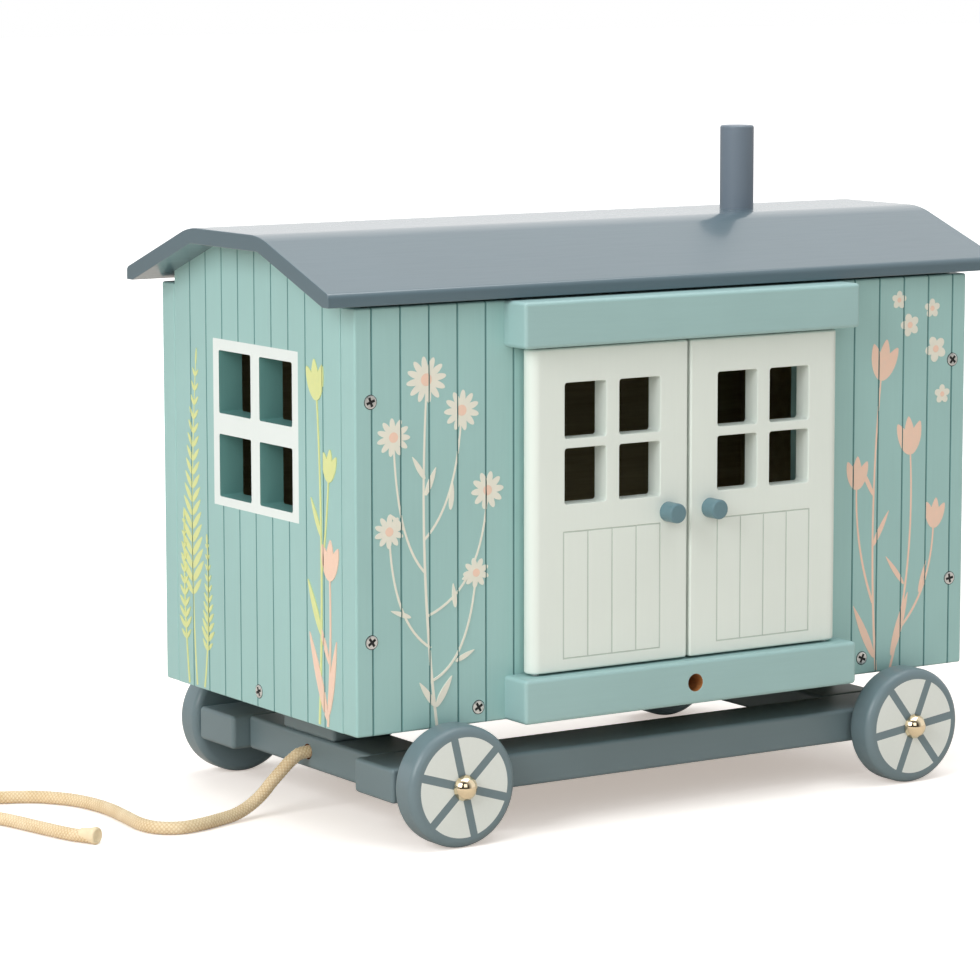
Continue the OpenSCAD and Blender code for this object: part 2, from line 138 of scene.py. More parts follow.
class Recipe:
    """The node tree of one material, with short calls for the nodes that the finishes share."""

    def __init__(self, name: str) -> None:
        """Starts an empty material around one Principled shader."""
        self.material = bpy.data.materials.new(name)
        self.material.use_nodes = True
        self.nodes = self.material.node_tree.nodes
        self.links = self.material.node_tree.links
        self.shader = self.nodes["Principled BSDF"]

    def add(self, kind: str, **settings: object) -> bpy.types.Node:
        """Adds a node.

        Args:
            kind: The node's type name.
            settings: Properties of the node.

        Returns:
            The new node.
        """
        made = self.nodes.new(kind)
        for key, value in settings.items():
            setattr(made, key, value)
        return made

    def feed(self, socket: Socket, value: object) -> None:
        """Links a socket's output to an input, or sets a plain value on it."""
        if isinstance(value, Socket):
            self.links.new(value, socket)
        else:
            socket.default_value = value

    def point(self, scale: Triple = (1.0, 1.0, 1.0), source: str = "Object") -> Socket:
        """Gives the surface point in the piece's own space.

        Args:
            scale: How the pattern is pressed along each direction.
            source: The output of the coordinate node.

        Returns:
            The mapped point.
        """
        place = self.add("ShaderNodeTexCoord")
        mapping = self.add("ShaderNodeMapping")
        mapping.inputs["Scale"].default_value = scale
        self.links.new(place.outputs[source], mapping.inputs["Vector"])
        return mapping.outputs["Vector"]

    def noise(self, at: Socket, scale: float, detail: float = 2.0, rough: float = 0.5) -> Socket:
        """Gives soft noise at a point.

        Args:
            at: The point.
            scale: Waves per metre.
            detail: Octaves.
            rough: How strong the finer octaves are.

        Returns:
            A value around one half.
        """
        made = self.add("ShaderNodeTexNoise")
        made.inputs["Scale"].default_value = scale
        made.inputs["Detail"].default_value = detail
        made.inputs["Roughness"].default_value = rough
        self.links.new(at, made.inputs["Vector"])
        return made.outputs["Fac"]

    def span(self, value: Socket, low: float, high: float,
             start: float = 0.3, end: float = 0.7) -> Socket:
        """Stretches a value from one range to another.

        Args:
            value: The value to stretch.
            low: What the start becomes.
            high: What the end becomes.
            start: Low end of the range read.
            end: High end of the range read.

        Returns:
            The stretched value, held inside its range.
        """
        made = self.add("ShaderNodeMapRange")
        for key, number in (("From Min", start), ("From Max", end), ("To Min", low), ("To Max", high)):
            made.inputs[key].default_value = number
        self.links.new(value, made.inputs["Value"])
        return made.outputs["Result"]

    def math(self, way: str, first: object, second: object = 0.0) -> Socket:
        """Combines two values.

        Args:
            way: The node's operation.
            first: A socket or a number.
            second: A socket or a number.

        Returns:
            The result.
        """
        made = self.add("ShaderNodeMath", operation=way)
        self.feed(made.inputs[0], first)
        self.feed(made.inputs[1], second)
        return made.outputs[0]

    def weigh(self, first: Socket, share: float, second: Socket, rest: float) -> Socket:
        """Adds two values, each by its share."""
        return self.math("ADD", self.math("MULTIPLY", first, share), self.math("MULTIPLY", second, rest))

    def blend(self, factor: Socket, first: object, second: object) -> Socket:
        """Mixes two colours by a factor.

        Args:
            factor: Zero for the first colour, one for the second.
            first: A colour or a socket.
            second: A colour or a socket.

        Returns:
            The mixed colour.
        """
        made = self.add("ShaderNodeMix", data_type="RGBA")
        self.links.new(factor, made.inputs["Factor"])
        self.feed(made.inputs[6], first)
        self.feed(made.inputs[7], second)
        return made.outputs[2]

    def relief(self, height: Socket, depth: float) -> None:
        """Raises the surface by a height map.

        Args:
            height: Values from zero to one.
            depth: What one is worth, in millimetres.
        """
        made = self.add("ShaderNodeBump")
        made.inputs["Strength"].default_value = 1.0
        made.inputs["Distance"].default_value = depth * MM
        self.links.new(height, made.inputs["Height"])
        self.links.new(made.outputs["Normal"], self.shader.inputs["Normal"])

    def set(self, **values: object) -> None:
        """Sets shader sockets by name, with underscores for spaces."""
        for key, value in values.items():
            self.feed(self.shader.inputs[key.replace("_", " ")], value)


class Grain(Enum):
    """How the timber under a coat of paint runs, as the squeeze of its streaks."""

    UPRIGHT = (1.0, 1.0, 0.05)
    ALONG = (0.05, 1.0, 1.0)
    CROSS = (1.0, 0.05, 1.0)
    EVEN = (1.0, 1.0, 1.0)


class Finish:
    """A recipe for one material."""

    def make(self, name: str) -> bpy.types.Material:
        """Builds the material.

        Args:
            name: The material's name.

        Returns:
            The finished material.
        """
        r = Recipe(name)
        self.mix(r)
        return r.material

    def mix(self, r: Recipe) -> None:
        """Fills the recipe."""
        raise NotImplementedError


@dataclass(frozen=True)
class PaintFinish(Finish):
    """Satin paint on timber: faint streaks of the grain, slow clouding and a fine orange peel."""

    colour: str
    roughness: float = 0.42
    grain: Grain = Grain.UPRIGHT
    streak: float = 0.012
    cloud: float = 0.025
    depth: float = 0.005
    coat: float = 0.0
    coat_roughness: float = 0.12
    play: float = 0.03
    streak_scale: float = 900.0
    cloud_scale: float = 22.0
    peel_scale: float = 1500.0

    def mix(self, r: Recipe) -> None:
        """Fills the recipe."""
        streaks = r.noise(r.point(self.grain.value), self.streak_scale, 3.0, 0.6)
        clouds = r.noise(r.point(), self.cloud_scale)
        peel = r.noise(r.point(), self.peel_scale, 1.0)
        spread = self.streak + self.cloud
        tone = r.weigh(r.span(streaks, 0.0, 1.0), self.streak / spread,
                       r.span(clouds, 0.0, 1.0), self.cloud / spread)
        r.set(Base_Color=r.blend(tone, shade(self.colour, 1 - spread), shade(self.colour, 1 + spread)),
              Roughness=r.span(streaks, self.roughness - self.play, self.roughness + self.play),
              Specular_IOR_Level=0.45, Coat_Weight=self.coat, Coat_Roughness=self.coat_roughness)
        r.relief(r.weigh(streaks, 0.5, peel, 0.5), self.depth)


@dataclass(frozen=True)
class TimberFinish(Finish):
    """Unpainted softwood: early and late wood in long bands, pores and a dry surface."""

    pale: str
    dark: str
    grain: Grain = Grain.ALONG
    band_scale: float = 140.0
    pore_scale: float = 1400.0
    band_share: float = 0.75
    pore_depth: float = 0.05

    def mix(self, r: Recipe) -> None:
        """Fills the recipe."""
        at = r.point(self.grain.value)
        bands = r.noise(at, self.band_scale, 4.0, 0.65)
        pores = r.noise(at, self.pore_scale, 2.0, 0.7)
        tone = r.weigh(r.span(bands, 0.0, 1.0), self.band_share, r.span(pores, 0.0, 1.0), 1 - self.band_share)
        r.set(Base_Color=r.blend(tone, linear(self.pale), linear(self.dark)),
              Roughness=r.span(pores, 0.62, 0.8), Specular_IOR_Level=0.3)
        r.relief(pores, self.pore_depth)


@dataclass(frozen=True)
class MetalFinish(Finish):
    """Polished or plain metal with fine handling marks."""

    colour: str
    roughness: float
    marks: float = 0.05
    mark_scale: float = 900.0
    mark_depth: float = 0.004
    dulled: float = 0.93

    def mix(self, r: Recipe) -> None:
        """Fills the recipe."""
        marks = r.noise(r.point(), self.mark_scale, 3.0, 0.7)
        tone = r.blend(r.span(marks, 0.0, 1.0), shade(self.colour, self.dulled), linear(self.colour))
        r.set(Base_Color=tone, Metallic=1.0,
              Roughness=r.span(marks, self.roughness, self.roughness + self.marks))
        r.relief(marks, self.mark_depth)


@dataclass(frozen=True)
class InkFinish(Finish):
    """A thin printed coat, slightly uneven in its cover."""

    colour: str
    under: str
    cover_scale: float = 420.0
    worn_scale: float = 900.0
    worn_share: float = 0.22
    film_depth: float = 0.02

    def mix(self, r: Recipe) -> None:
        """Fills the recipe."""
        cover = r.noise(r.point(), self.cover_scale, 4.0, 0.6)
        worn = r.noise(r.point((1.0, 1.0, 0.2)), self.worn_scale)
        share = r.math("MULTIPLY", r.span(cover, 0.0, self.worn_share), r.span(worn, 0.4, 1.0))
        r.set(Base_Color=r.blend(share, linear(self.colour), linear(self.under)),
              Roughness=r.span(cover, 0.46, 0.56), Specular_IOR_Level=0.4)
        r.relief(cover, self.film_depth)


@dataclass(frozen=True)
class BraidFinish(Finish):
    """Braided cotton: strands crossing in two helices, soft fibre and a dull sheen, with painted shade in the
    hollows between the strands.
    """

    pale: str
    dark: str
    strands: int = 8
    pitch: float = 12.0
    fibre_scale: float = 2600.0
    cloud_scale: float = 130.0
    depth: float = 0.11

    def mix(self, r: Recipe) -> None:
        """Fills the recipe on the cord's own map, round it in turns and along it in millimetres."""
        split = r.add("ShaderNodeSeparateXYZ")
        r.links.new(r.point(source="UV"), split.inputs[0])
        turn = r.math("MULTIPLY", split.outputs[0], float(self.strands))
        walk = r.math("MULTIPLY", split.outputs[1], self.strands / self.pitch)
        weave: list[Socket] = []
        for way in ("ADD", "SUBTRACT"):
            phase = r.math("MULTIPLY", r.math(way, turn, walk), math.pi)
            weave.append(r.math("ABSOLUTE", r.math("SINE", phase)))
        height = r.math("MULTIPLY", weave[0], weave[1])
        fibre = r.noise(r.point(), self.fibre_scale, 2.0, 0.7)
        cloud = r.noise(r.point(), self.cloud_scale)
        # painted shade: the tone follows the strands' height, so the hollows between them turn dark; fibre
        # and cloud add the cotton's own uneven tone
        tone = r.math("ADD", r.math("MULTIPLY", height, 0.48),
                      r.weigh(r.span(fibre, 0.0, 1.0), 0.36, r.span(cloud, 0.0, 1.0), 0.24))
        r.set(Base_Color=r.blend(tone, linear(self.dark), linear(self.pale)), Roughness=0.85,
              Specular_IOR_Level=0.2, Sheen_Weight=0.25, Sheen_Roughness=0.5)
        r.relief(r.weigh(height, 0.75, fibre, 0.25), self.depth)


class Palette:
    """All finishes of the toy, each made once when it is first asked for."""

    FINISHES = {
        Coat.TEAL: PaintFinish("#9CC3C0"),
        Coat.TEAL_RAIL: PaintFinish("#9BBDBC", grain=Grain.ALONG),
        # painted shade: darker teal for the faces inside the board grooves
        Coat.LINE_SHADE: PaintFinish("#6A9695", roughness=0.55),
        Coat.WHITE: PaintFinish("#E3ECEA", roughness=0.45, streak=0.006, cloud=0.015),
        Coat.CREAM: PaintFinish("#E0E9E2", roughness=0.4, streak=0.006, cloud=0.015),
        # painted shade: the door cream darkened for the faces inside the engraved lines
        Coat.DOOR_LINE: PaintFinish("#BCC8BF", roughness=0.6),
        # painted shade: the boards' teal darkened for the shade inside the window reveals
        Coat.REVEAL_SHADE: PaintFinish("#6A9C98"),
        Coat.ROOF: PaintFinish("#506771", roughness=0.36, grain=Grain.ALONG, streak=0.006, depth=0.0015,
                               coat=0.85),
        Coat.SLATE: PaintFinish("#6E8085", grain=Grain.ALONG),
        Coat.CHIMNEY: PaintFinish("#707D89", roughness=0.4),
        Coat.WHEEL: PaintFinish("#6F8288", roughness=0.32, grain=Grain.EVEN),
        Coat.WHEEL_PALE: PaintFinish("#DFE5E0", roughness=0.45, grain=Grain.EVEN, streak=0.01, cloud=0.015),
        Coat.KNOB: PaintFinish("#63838C", roughness=0.38, grain=Grain.CROSS),
        Coat.WOOD: TimberFinish("#A49A76", "#827653"),
        Coat.DRILLED: TimberFinish("#B77E4A", "#8A5426", Grain.CROSS),
        Coat.STEEL: MetalFinish("#D6D9D8", 0.26),
        # painted shade: near-black for the screws' recesses and the ring round their heads
        Coat.RECESS_SHADE: PaintFinish("#1B1E1F", roughness=0.75, grain=Grain.EVEN),
        Coat.BRASS: MetalFinish("#EEDCBA", 0.06),
        # the dark tone serves both the cotton's flecks and the painted shade between the strands
        Coat.COTTON: BraidFinish("#FFEFCF", "#C9A670"),
        Coat.SEAL: PaintFinish("#F0DDB9", roughness=0.6, grain=Grain.EVEN, cloud=0.05),
        Coat.LEAF: InkFinish("#DADF9A", "#BCD6B0"),
        Coat.PEACH: InkFinish("#EFCDB8", "#CFCBBC"),
        Coat.PALE: InkFinish("#E6E4D6", "#C9D8CF"),
    }

    def __init__(self) -> None:
        """Starts with nothing made."""
        self._made: dict[Coat, bpy.types.Material] = {}

    def of(self, coat: Coat) -> bpy.types.Material:
        """Gives a coat's material, made on first use."""
        if coat not in self._made:
            self._made[coat] = self.FINISHES[coat].make(coat.value)
        return self._made[coat]


PALETTE = Palette()


def block(lo: Triple, hi: Triple) -> BMesh:
    """Makes a plain block between two corners.

    Args:
        lo: Low corner, in millimetres.
        hi: High corner, in millimetres.

    Returns:
        The block.
    """
    bm = bmesh.new()
    bmesh.ops.create_cube(bm, size=1.0)
    low, high = Vector(lo), Vector(hi)
    bmesh.ops.scale(bm, vec=high - low, verts=bm.verts)
    bmesh.ops.translate(bm, vec=(low + high) / 2, verts=bm.verts)
    return bm


def prism(outline: Sequence[Pair], x0: float, x1: float) -> BMesh:
    """Carries an outline in the YZ plane along X.

    Args:
        outline: Corners of the outline, in turn.
        x0: Where it starts.
        x1: Where it ends.

    Returns:
        The closed solid.
    """
    bm = bmesh.new()
    face = bm.faces.new([bm.verts.new((x0, y, z)) for y, z in outline])
    made = bmesh.ops.extrude_face_region(bm, geom=[face], use_keep_orig=True)
    moved = new_verts(made)
    bmesh.ops.translate(bm, vec=(x1 - x0, 0, 0), verts=moved)
    face_out(bm)
    return bm


def turned(profile: Sequence[Pair], steps: int, closed: bool = False) -> BMesh:
    """Turns a profile about the Z axis.

    Args:
        profile: Radius and height of each corner.
        steps: Facets round the axis.
        closed: Whether the last corner joins the first.

    Returns:
        The turned solid.
    """
    bm = bmesh.new()
    verts = [bm.verts.new((r, 0.0, h)) for r, h in profile]
    pairs = list(zip(verts, verts[1:]))
    if closed:
        pairs.append((verts[-1], verts[0]))
    edges = [bm.edges.new(pair) for pair in pairs]
    bmesh.ops.spin(bm, geom=verts + edges, cent=(0, 0, 0), axis=(0, 0, 1), angle=math.tau, steps=steps,
                   use_merge=True)
    bmesh.ops.remove_doubles(bm, verts=bm.verts, dist=WELD)
    face_out(bm)
    return bm


def new_verts(made: dict[str, list]) -> list[BMVert]:
    """Picks the vertices out of what an operator made."""
    return [g for g in made["geom"] if isinstance(g, BMVert)]


def solid_box(node: str) -> tuple[Vector, Vector]:
    """Gives the low and high corner of a carried-over solid, in millimetres."""
    low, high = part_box(node)
    return low / MM, high / MM


def lay_on(normal: Vector, reach: float) -> Matrix:
    """Gives the matrix that lays an upright drawing on a wall.

    Args:
        normal: The way that the wall faces.
        reach: How far the wall's face lies from the middle.

    Returns:
        The matrix.
    """
    turn = Matrix((UP.cross(normal), UP, normal)).transposed().to_4x4()
    return Matrix.Translation(normal * reach) @ turn


def upright_to(place: Vector, way: Vector) -> Matrix:
    """Gives the matrix that turns the upright to a direction, at a place."""
    return Matrix.Translation(place) @ UP.rotation_difference(way).to_matrix().to_4x4()


def move(bm: BMesh, matrix: Matrix) -> None:
    """Moves a whole mesh."""
    bmesh.ops.transform(bm, matrix=matrix, verts=bm.verts)


def face_out(bm: BMesh) -> None:
    """Turns all faces of a mesh outwards."""
    bmesh.ops.recalc_face_normals(bm, faces=bm.faces)


def in_scene(name: str, data: bpy.types.ID) -> bpy.types.Object:
    """Puts a new object into the scene."""
    made = bpy.data.objects.new(name, data)
    bpy.context.scene.collection.objects.link(made)
    return made


def middle_of(edge: BMEdge) -> Vector:
    """Gives the middle of an edge."""
    return (edge.verts[0].co + edge.verts[1].co) / 2


def flat_at(part: BMEdge | BMFace, axis: Axis, value: float) -> bool:
    """Says whether an edge or a face lies where one of its coordinates has a value."""
    return all(abs(w.co[axis.value] - value) < NEAR for w in part.verts)


def runs_along(edge: BMEdge, axis: Axis) -> float:
    """Gives how far an edge runs along a direction, from zero to one."""
    return abs((edge.verts[0].co - edge.verts[1].co).normalized()[axis.value])


def soften(bm: BMesh, edges: Iterable[BMEdge], radius: float, steps: int = 3) -> None:
    """Rounds edges over.

    Args:
        bm: The mesh.
        edges: The edges to round.
        radius: Width of the rounding on each side.
        steps: Facets across it.
    """
    bmesh.ops.bevel(bm, geom=list(edges), offset=radius, offset_type="OFFSET", segments=steps, profile=0.5,
                    affect="EDGES", material=-1, clamp_overlap=True)


def corners(bm: BMesh, keep: Callable[[Vector], bool] = lambda middle: True,
            degrees: float = 60.0) -> list[BMEdge]:
    """Lists the sharp edges of a mesh.

    Args:
        bm: The mesh.
        keep: Which edges to take, by their middle.
        degrees: The least angle between an edge's faces.

    Returns:
        The edges.
    """
    limit = math.radians(degrees)
    return [e for e in bm.edges if len(e.link_faces) == 2 and e.calc_face_angle() > limit
            and keep(middle_of(e))]


def slice_at(bm: BMesh, axis: int, *values: float) -> None:
    """Cuts new edges all round a mesh where one of its coordinates has one of the values."""
    plane = Axis(axis).unit
    for value in values:
        bmesh.ops.bisect_plane(bm, geom=bm.verts[:] + bm.edges[:] + bm.faces[:], dist=WELD,
                               plane_co=plane * value, plane_no=plane)


@dataclass(frozen=True)
class Opening:
    """A right-angled opening through a panel, by its low and high corner in the panel's own plane."""

    lo: Pair
    hi: Pair

    def holds(self, u: float, v: float) -> bool:
        """Says whether a point of the panel lies in the opening."""
        return self.lo[0] < u < self.hi[0] and self.lo[1] < v < self.hi[1]


def pierce(bm: BMesh, axis: Axis, openings: Sequence[Opening], corner: float = 0.0, rim: float = 0.0) -> None:
    """Opens holes through a panel and rounds their corners.

    Args:
        bm: The panel.
        axis: The direction through the panel.
        openings: The holes.
        corner: Radius of their corners.
        rim: Softness of their outer edges.
    """
    u, v = axis.across
    for i, place in enumerate((u, v)):
        slice_at(bm, place, *sorted({round(x, 4) for o in openings for x in (o.lo[i], o.hi[i])}))
    posts: list[BMEdge] = []
    for hole in openings:
        inside = [f for f in bm.faces if abs(f.normal[axis.value]) > 0.9
                  and hole.holds(f.calc_center_median()[u], f.calc_center_median()[v])]
        edge_set = {e for f in inside for e in f.edges if any(g not in inside for g in e.link_faces)}
        bmesh.ops.delete(bm, geom=inside, context="FACES")
        made = bmesh.ops.bridge_loops(bm, edges=[e for e in edge_set if e.is_valid])
        posts += {e for f in made["faces"] for e in f.edges if runs_along(e, axis) > 0.9}
    face_out(bm)
    if corner:
        soften(bm, posts, corner, 4)
    if rim:
        edges = [e for e in corners(bm) if any(on_rim(o, middle_of(e), u, v) for o in openings)
                 and runs_along(e, axis) < 0.1]
        soften(bm, edges, rim, 2)


def on_rim(hole: Opening, middle: Vector, u: int, v: int) -> bool:
    """Says whether an edge's middle lies in an opening or on its rim."""
    grown = Opening((hole.lo[0] - NEAR, hole.lo[1] - NEAR), (hole.hi[0] + NEAR, hole.hi[1] + NEAR))
    return grown.holds(middle[u], middle[v])


@dataclass(frozen=True)
class Cut:
    """One engraved line on a panel: it runs along one direction, at a place on the other."""

    at: float
    start: float
    end: float
    upright: bool = True


def engrave(bm: BMesh, axis: Axis, outer: float, inward: float, cuts: Sequence[Cut], width: float,
            depth: float, skin: float, coat: int) -> None:
    """Cuts V-shaped lines into the outer face of a panel.

    Args:
        bm: The panel.
        axis: The direction through the panel.
        outer: Where its outer face lies.
        inward: Plus or minus one, the way into the timber.
        cuts: The lines.
        width: Width of a line at the surface.
        depth: Its depth.
        skin: How far behind the face a softened edge still belongs to it.
        coat: Index of the darker coat inside the lines, which paints the shade of the grooves.
    """
    u, v = axis.across
    for cut in cuts:
        along, side = (v, u) if cut.upright else (u, v)
        slice_at(bm, side, cut.at - width / 2, cut.at, cut.at + width / 2)
        slice_at(bm, along, cut.start, cut.end)
    sunk: set[BMVert] = set()
    for vert in bm.verts:
        behind = (vert.co[axis.value] - outer) * inward
        if behind > skin:
            continue
        for cut in cuts:
            along, side = (v, u) if cut.upright else (u, v)
            if abs(vert.co[side] - cut.at) < 2e-3 and cut.start - 1e-3 <= vert.co[along] <= cut.end + 1e-3:
                sunk.add(vert)
    for vert in sunk:
        vert.co[axis.value] += inward * depth
        # the sunk faces take the darker coat: painted shade inside the grooves
        for face in vert.link_faces:
            face.material_index = coat


def drill(bm: BMesh, axis: Axis, entry: float, centre: Pair, radius: float, depth: float, coat: int,
          steps: int = 32, through: bool = False, margin: float = 1.0) -> None:
    """Bores a round hole into a block.

    Args:
        bm: The block.
        axis: The direction of the bore.
        entry: Where the bore starts on that direction.
        centre: Its place on the two other directions.
        radius: Its radius.
        depth: How far it goes, with the sign of its direction.
        coat: Index of the finish inside.
        steps: Facets round it.
        through: Whether it comes out on the far side.
        margin: Width of the face round it that is laid anew.
    """
    u, v = axis.across
    reach = radius + margin
    for place, value in ((u, centre[0]), (v, centre[1])):
        slice_at(bm, place, value - reach, value + reach)
    patch = Opening((centre[0] - reach, centre[1] - reach), (centre[0] + reach, centre[1] + reach))
    rings: list[list[BMEdge]] = []
    for level in ([entry, entry + depth] if through else [entry]):
        faces = [f for f in bm.faces if abs(f.calc_center_median()[axis.value] - level) < 1e-3
                 and patch.holds(f.calc_center_median()[u], f.calc_center_median()[v])]
        border = list({e for f in faces for e in f.edges if any(g not in faces for g in e.link_faces)})
        bmesh.ops.delete(bm, geom=faces, context="FACES")
        spot = Vector((0, 0, 0))
        spot[axis.value], spot[u], spot[v] = level, centre[0], centre[1]
        made = bmesh.ops.create_circle(bm, segments=steps, radius=radius, matrix=upright_to(spot, axis.unit))
        ring = list({e for w in made["verts"] for e in w.link_edges})
        bmesh.ops.triangle_fill(bm, edges=border + ring, use_beauty=True, use_dissolve=False)
        rings.append(ring)
    if through:
        made = bmesh.ops.bridge_loops(bm, edges=rings[0] + rings[1])
        for face in made["faces"]:
            face.material_index = coat
    else:
        made = bmesh.ops.extrude_edge_only(bm, edges=rings[0])
        far = new_verts(made)
        bmesh.ops.translate(bm, vec=axis.unit * depth, verts=far)
        for face in (g for g in made["geom"] if isinstance(g, BMFace)):
            face.material_index = coat
        bottom = bm.faces.new(sorted_ring(far))
        bottom.material_index = coat
    face_out(bm)


def sorted_ring(verts: Sequence[BMVert]) -> list[BMVert]:
    """Puts the vertices of a ring in turn by walking its edges."""
    left = set(verts)
    walk = [verts[0]]
    left.discard(verts[0])
    while left:
        step = next(e.other_vert(walk[-1]) for e in walk[-1].link_edges if e.other_vert(walk[-1]) in left)
        walk.append(step)
        left.discard(step)
    return walk


def publish(bm: BMesh, name: str, body: str, coats: Sequence[Coat],
            replaces: Sequence[str] = (), crease: float = 35.0) -> bpy.types.Object:
    """Turns a mesh in millimetres into a finished piece of the frame.

    Args:
        bm: The mesh, which is used up.
        name: The piece's name.
        body: The body that it moves with.
        coats: Its materials, by face index.
        replaces: The solids that it stands for.
        crease: Edges sharper than this stay crisp, in degrees.

    Returns:
        The piece.
    """
    bmesh.ops.scale(bm, vec=(MM, MM, MM), verts=bm.verts)
    for face in bm.faces:
        face.smooth = True
    mesh = bpy.data.meshes.new(name)
    bm.to_mesh(mesh)
    bm.free()
    for coat in coats:
        mesh.materials.append(PALETTE.of(coat))
    mesh.set_sharp_from_angle(angle=math.radians(crease))
    piece = in_scene(name, mesh)
    weighted = piece.modifiers.new("weighted", "WEIGHTED_NORMAL")
    weighted.keep_sharp = True
    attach(piece, body)
    if replaces:
        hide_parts(*replaces)
    LOG.info("%s: %d faces on %s", name, len(mesh.polygons), body)
    return piece


def dress(node: str, coat: Coat) -> None:
    """Gives a carried-over solid its finish."""
    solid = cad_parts[node]
    if not solid.material_slots:
        solid.data.materials.append(None)
    for place in solid.material_slots:
        place.material = PALETTE.of(coat)
    LOG.info("%s: solid dressed in %s", node, coat.value)


@dataclass(frozen=True)
class Lamp:
    """One soft box: its place and side in metres, its watts, and whether it shows in glossy paint."""

    name: str
    place: Triple
    size: float
    power: float
    shine: bool = True


@dataclass
class Studio:
    """Camera at the photograph's angle, pale floor and soft light."""

    azimuth: float = -32.87
    elevation: float = 7.82
    distance: float = 1519.95
    roll: float = -0.09
    focal: float = 3932.73
    frame_px: float = 980.0
    sensor: float = 36.0
    target: Triple = (-36.31, -0.05, 116.16)
    sky: float = 0.365
    dark_side: float = 0.06
    dark_from: float = 0.2
    dark_full: float = 0.75
    bounce: str = "#E4DBD2"
    # colour of the floor's glow near the toy: painted light that lifts and tints the toy's shadow
    shadow_tint: str = "#B4ABA4"
    paper: tuple[str, str] = ("#F3F2F1", "#F5F4F3")
    paper_scale: float = 40.0
    floor_size: float = 12.0
    floor_near: float = 0.35
    floor_far: float = 0.9
    aim: Triple = (0, 0, 0.1)
    lamps: Sequence[Lamp] = (
        Lamp("key_left", (-1.6, -0.55, 0.95), 1.0, 18.5),
        Lamp("top", (0.1, -0.1, 1.7), 1.5, 18.0),
        Lamp("fill_front", (-0.6, -1.6, 0.9), 0.9, 4.2),
        Lamp("fill_back", (1.3, 1.2, 0.8), 1.0, 5.0, shine=False),
    )

    def towards_camera(self) -> Vector:
        """Gives the direction from the toy to the camera."""
        a, e = math.radians(self.azimuth), math.radians(self.elevation)
        return Vector((math.sin(a) * math.cos(e), -math.cos(a) * math.cos(e), math.sin(e)))

    def camera(self) -> None:
        """Sets the camera where the photograph was taken."""
        a, r = math.radians(self.azimuth), math.radians(self.roll)
        back = self.towards_camera()
        right = Vector((math.cos(a), math.sin(a), 0))
        up = back.cross(right)
        right_rolled = right * math.cos(r) + up * math.sin(r)
        up_rolled = up * math.cos(r) - right * math.sin(r)
        lens = bpy.data.cameras.new("photo_camera")
        lens.sensor_fit = "HORIZONTAL"
        lens.sensor_width = self.sensor
        lens.lens = self.focal * self.sensor / self.frame_px
        lens.clip_start, lens.clip_end = 0.05, 50
        view = in_scene("photo_camera", lens)
        place = Vector(self.target) * MM + back * self.distance * MM
        turn = Matrix((right_rolled, up_rolled, back)).transposed().to_4x4()
        view.matrix_world = Matrix.Translation(place) @ turn
        bpy.context.scene.camera = view

    def hang(self, lamp: Lamp) -> None:
        """Hangs one soft box and turns it to the toy."""
        light = bpy.data.lights.new(lamp.name, "AREA")
        light.shape, light.size, light.energy = "SQUARE", lamp.size, lamp.power
        held = in_scene(lamp.name, light)
        held.visible_glossy = lamp.shine
        place = Vector(lamp.place)
        away = place - Vector(self.aim)
        held.matrix_world = Matrix.Translation(place) @ away.to_track_quat("Z", "Y").to_matrix().to_4x4()

    def sky_light(self) -> None:
        """Lights the room evenly and shows white to the camera and in reflections."""
        world = bpy.data.worlds.new("room")
        bpy.context.scene.world = world
        world.use_nodes = True
        nodes, links = world.node_tree.nodes, world.node_tree.links
        path = nodes.new("ShaderNodeLightPath")
        way = nodes.new("ShaderNodeTexCoord")
        facing = nodes.new("ShaderNodeVectorMath")
        facing.operation = "DOT_PRODUCT"
        facing.inputs[1].default_value = self.towards_camera()
        links.new(way.outputs["Generated"], facing.inputs[0])
        mirror = nodes.new("ShaderNodeMapRange")
        for key, number in (("From Min", self.dark_from), ("From Max", self.dark_full),
                            ("To Min", 1.0), ("To Max", self.dark_side)):
            mirror.inputs[key].default_value = number
        links.new(facing.outputs["Value"], mirror.inputs["Value"])

        def mixed(factor: Socket, low: object, high: object) -> Socket:
            """Picks between two levels by the kind of ray."""
            made = nodes.new("ShaderNodeMix")
            links.new(factor, made.inputs["Factor"])
            for socket, value in ((made.inputs["A"], low), (made.inputs["B"], high)):
                if isinstance(value, Socket):
                    links.new(value, socket)
                else:
                    socket.default_value = value
            return made.outputs["Result"]

        level = mixed(path.outputs["Is Glossy Ray"], self.sky, mirror.outputs["Result"])
        level = mixed(path.outputs["Is Camera Ray"], level, 1.0)
        level = mixed(path.outputs["Is Transmission Ray"], level, 1.0)
        room = nodes["Background"]
        room.inputs["Color"].default_value = (1, 1, 1, 1)
        links.new(level, room.inputs["Strength"])

    def floor(self) -> None:
        """Lays a pale floor that keeps the toy's shadow; to the camera it also glows, warm grey near the toy,
        which lightens and tints that shadow as painted light, and white farther out.
        """
        bm = bmesh.new()
        bmesh.ops.create_grid(bm, x_segments=1, y_segments=1, size=self.floor_size)
        mesh = bpy.data.meshes.new("studio_floor")
        bm.to_mesh(mesh)
        bm.free()
        r = Recipe("studio_floor")
        grain = r.noise(r.point(), self.paper_scale)
        far = r.add("ShaderNodeVectorMath", operation="LENGTH")
        r.links.new(r.point(), far.inputs[0])
        seen = r.add("ShaderNodeLightPath").outputs["Is Camera Ray"]
        fade = r.span(far.outputs["Value"], 0.0, 1.0, self.floor_near, self.floor_far)
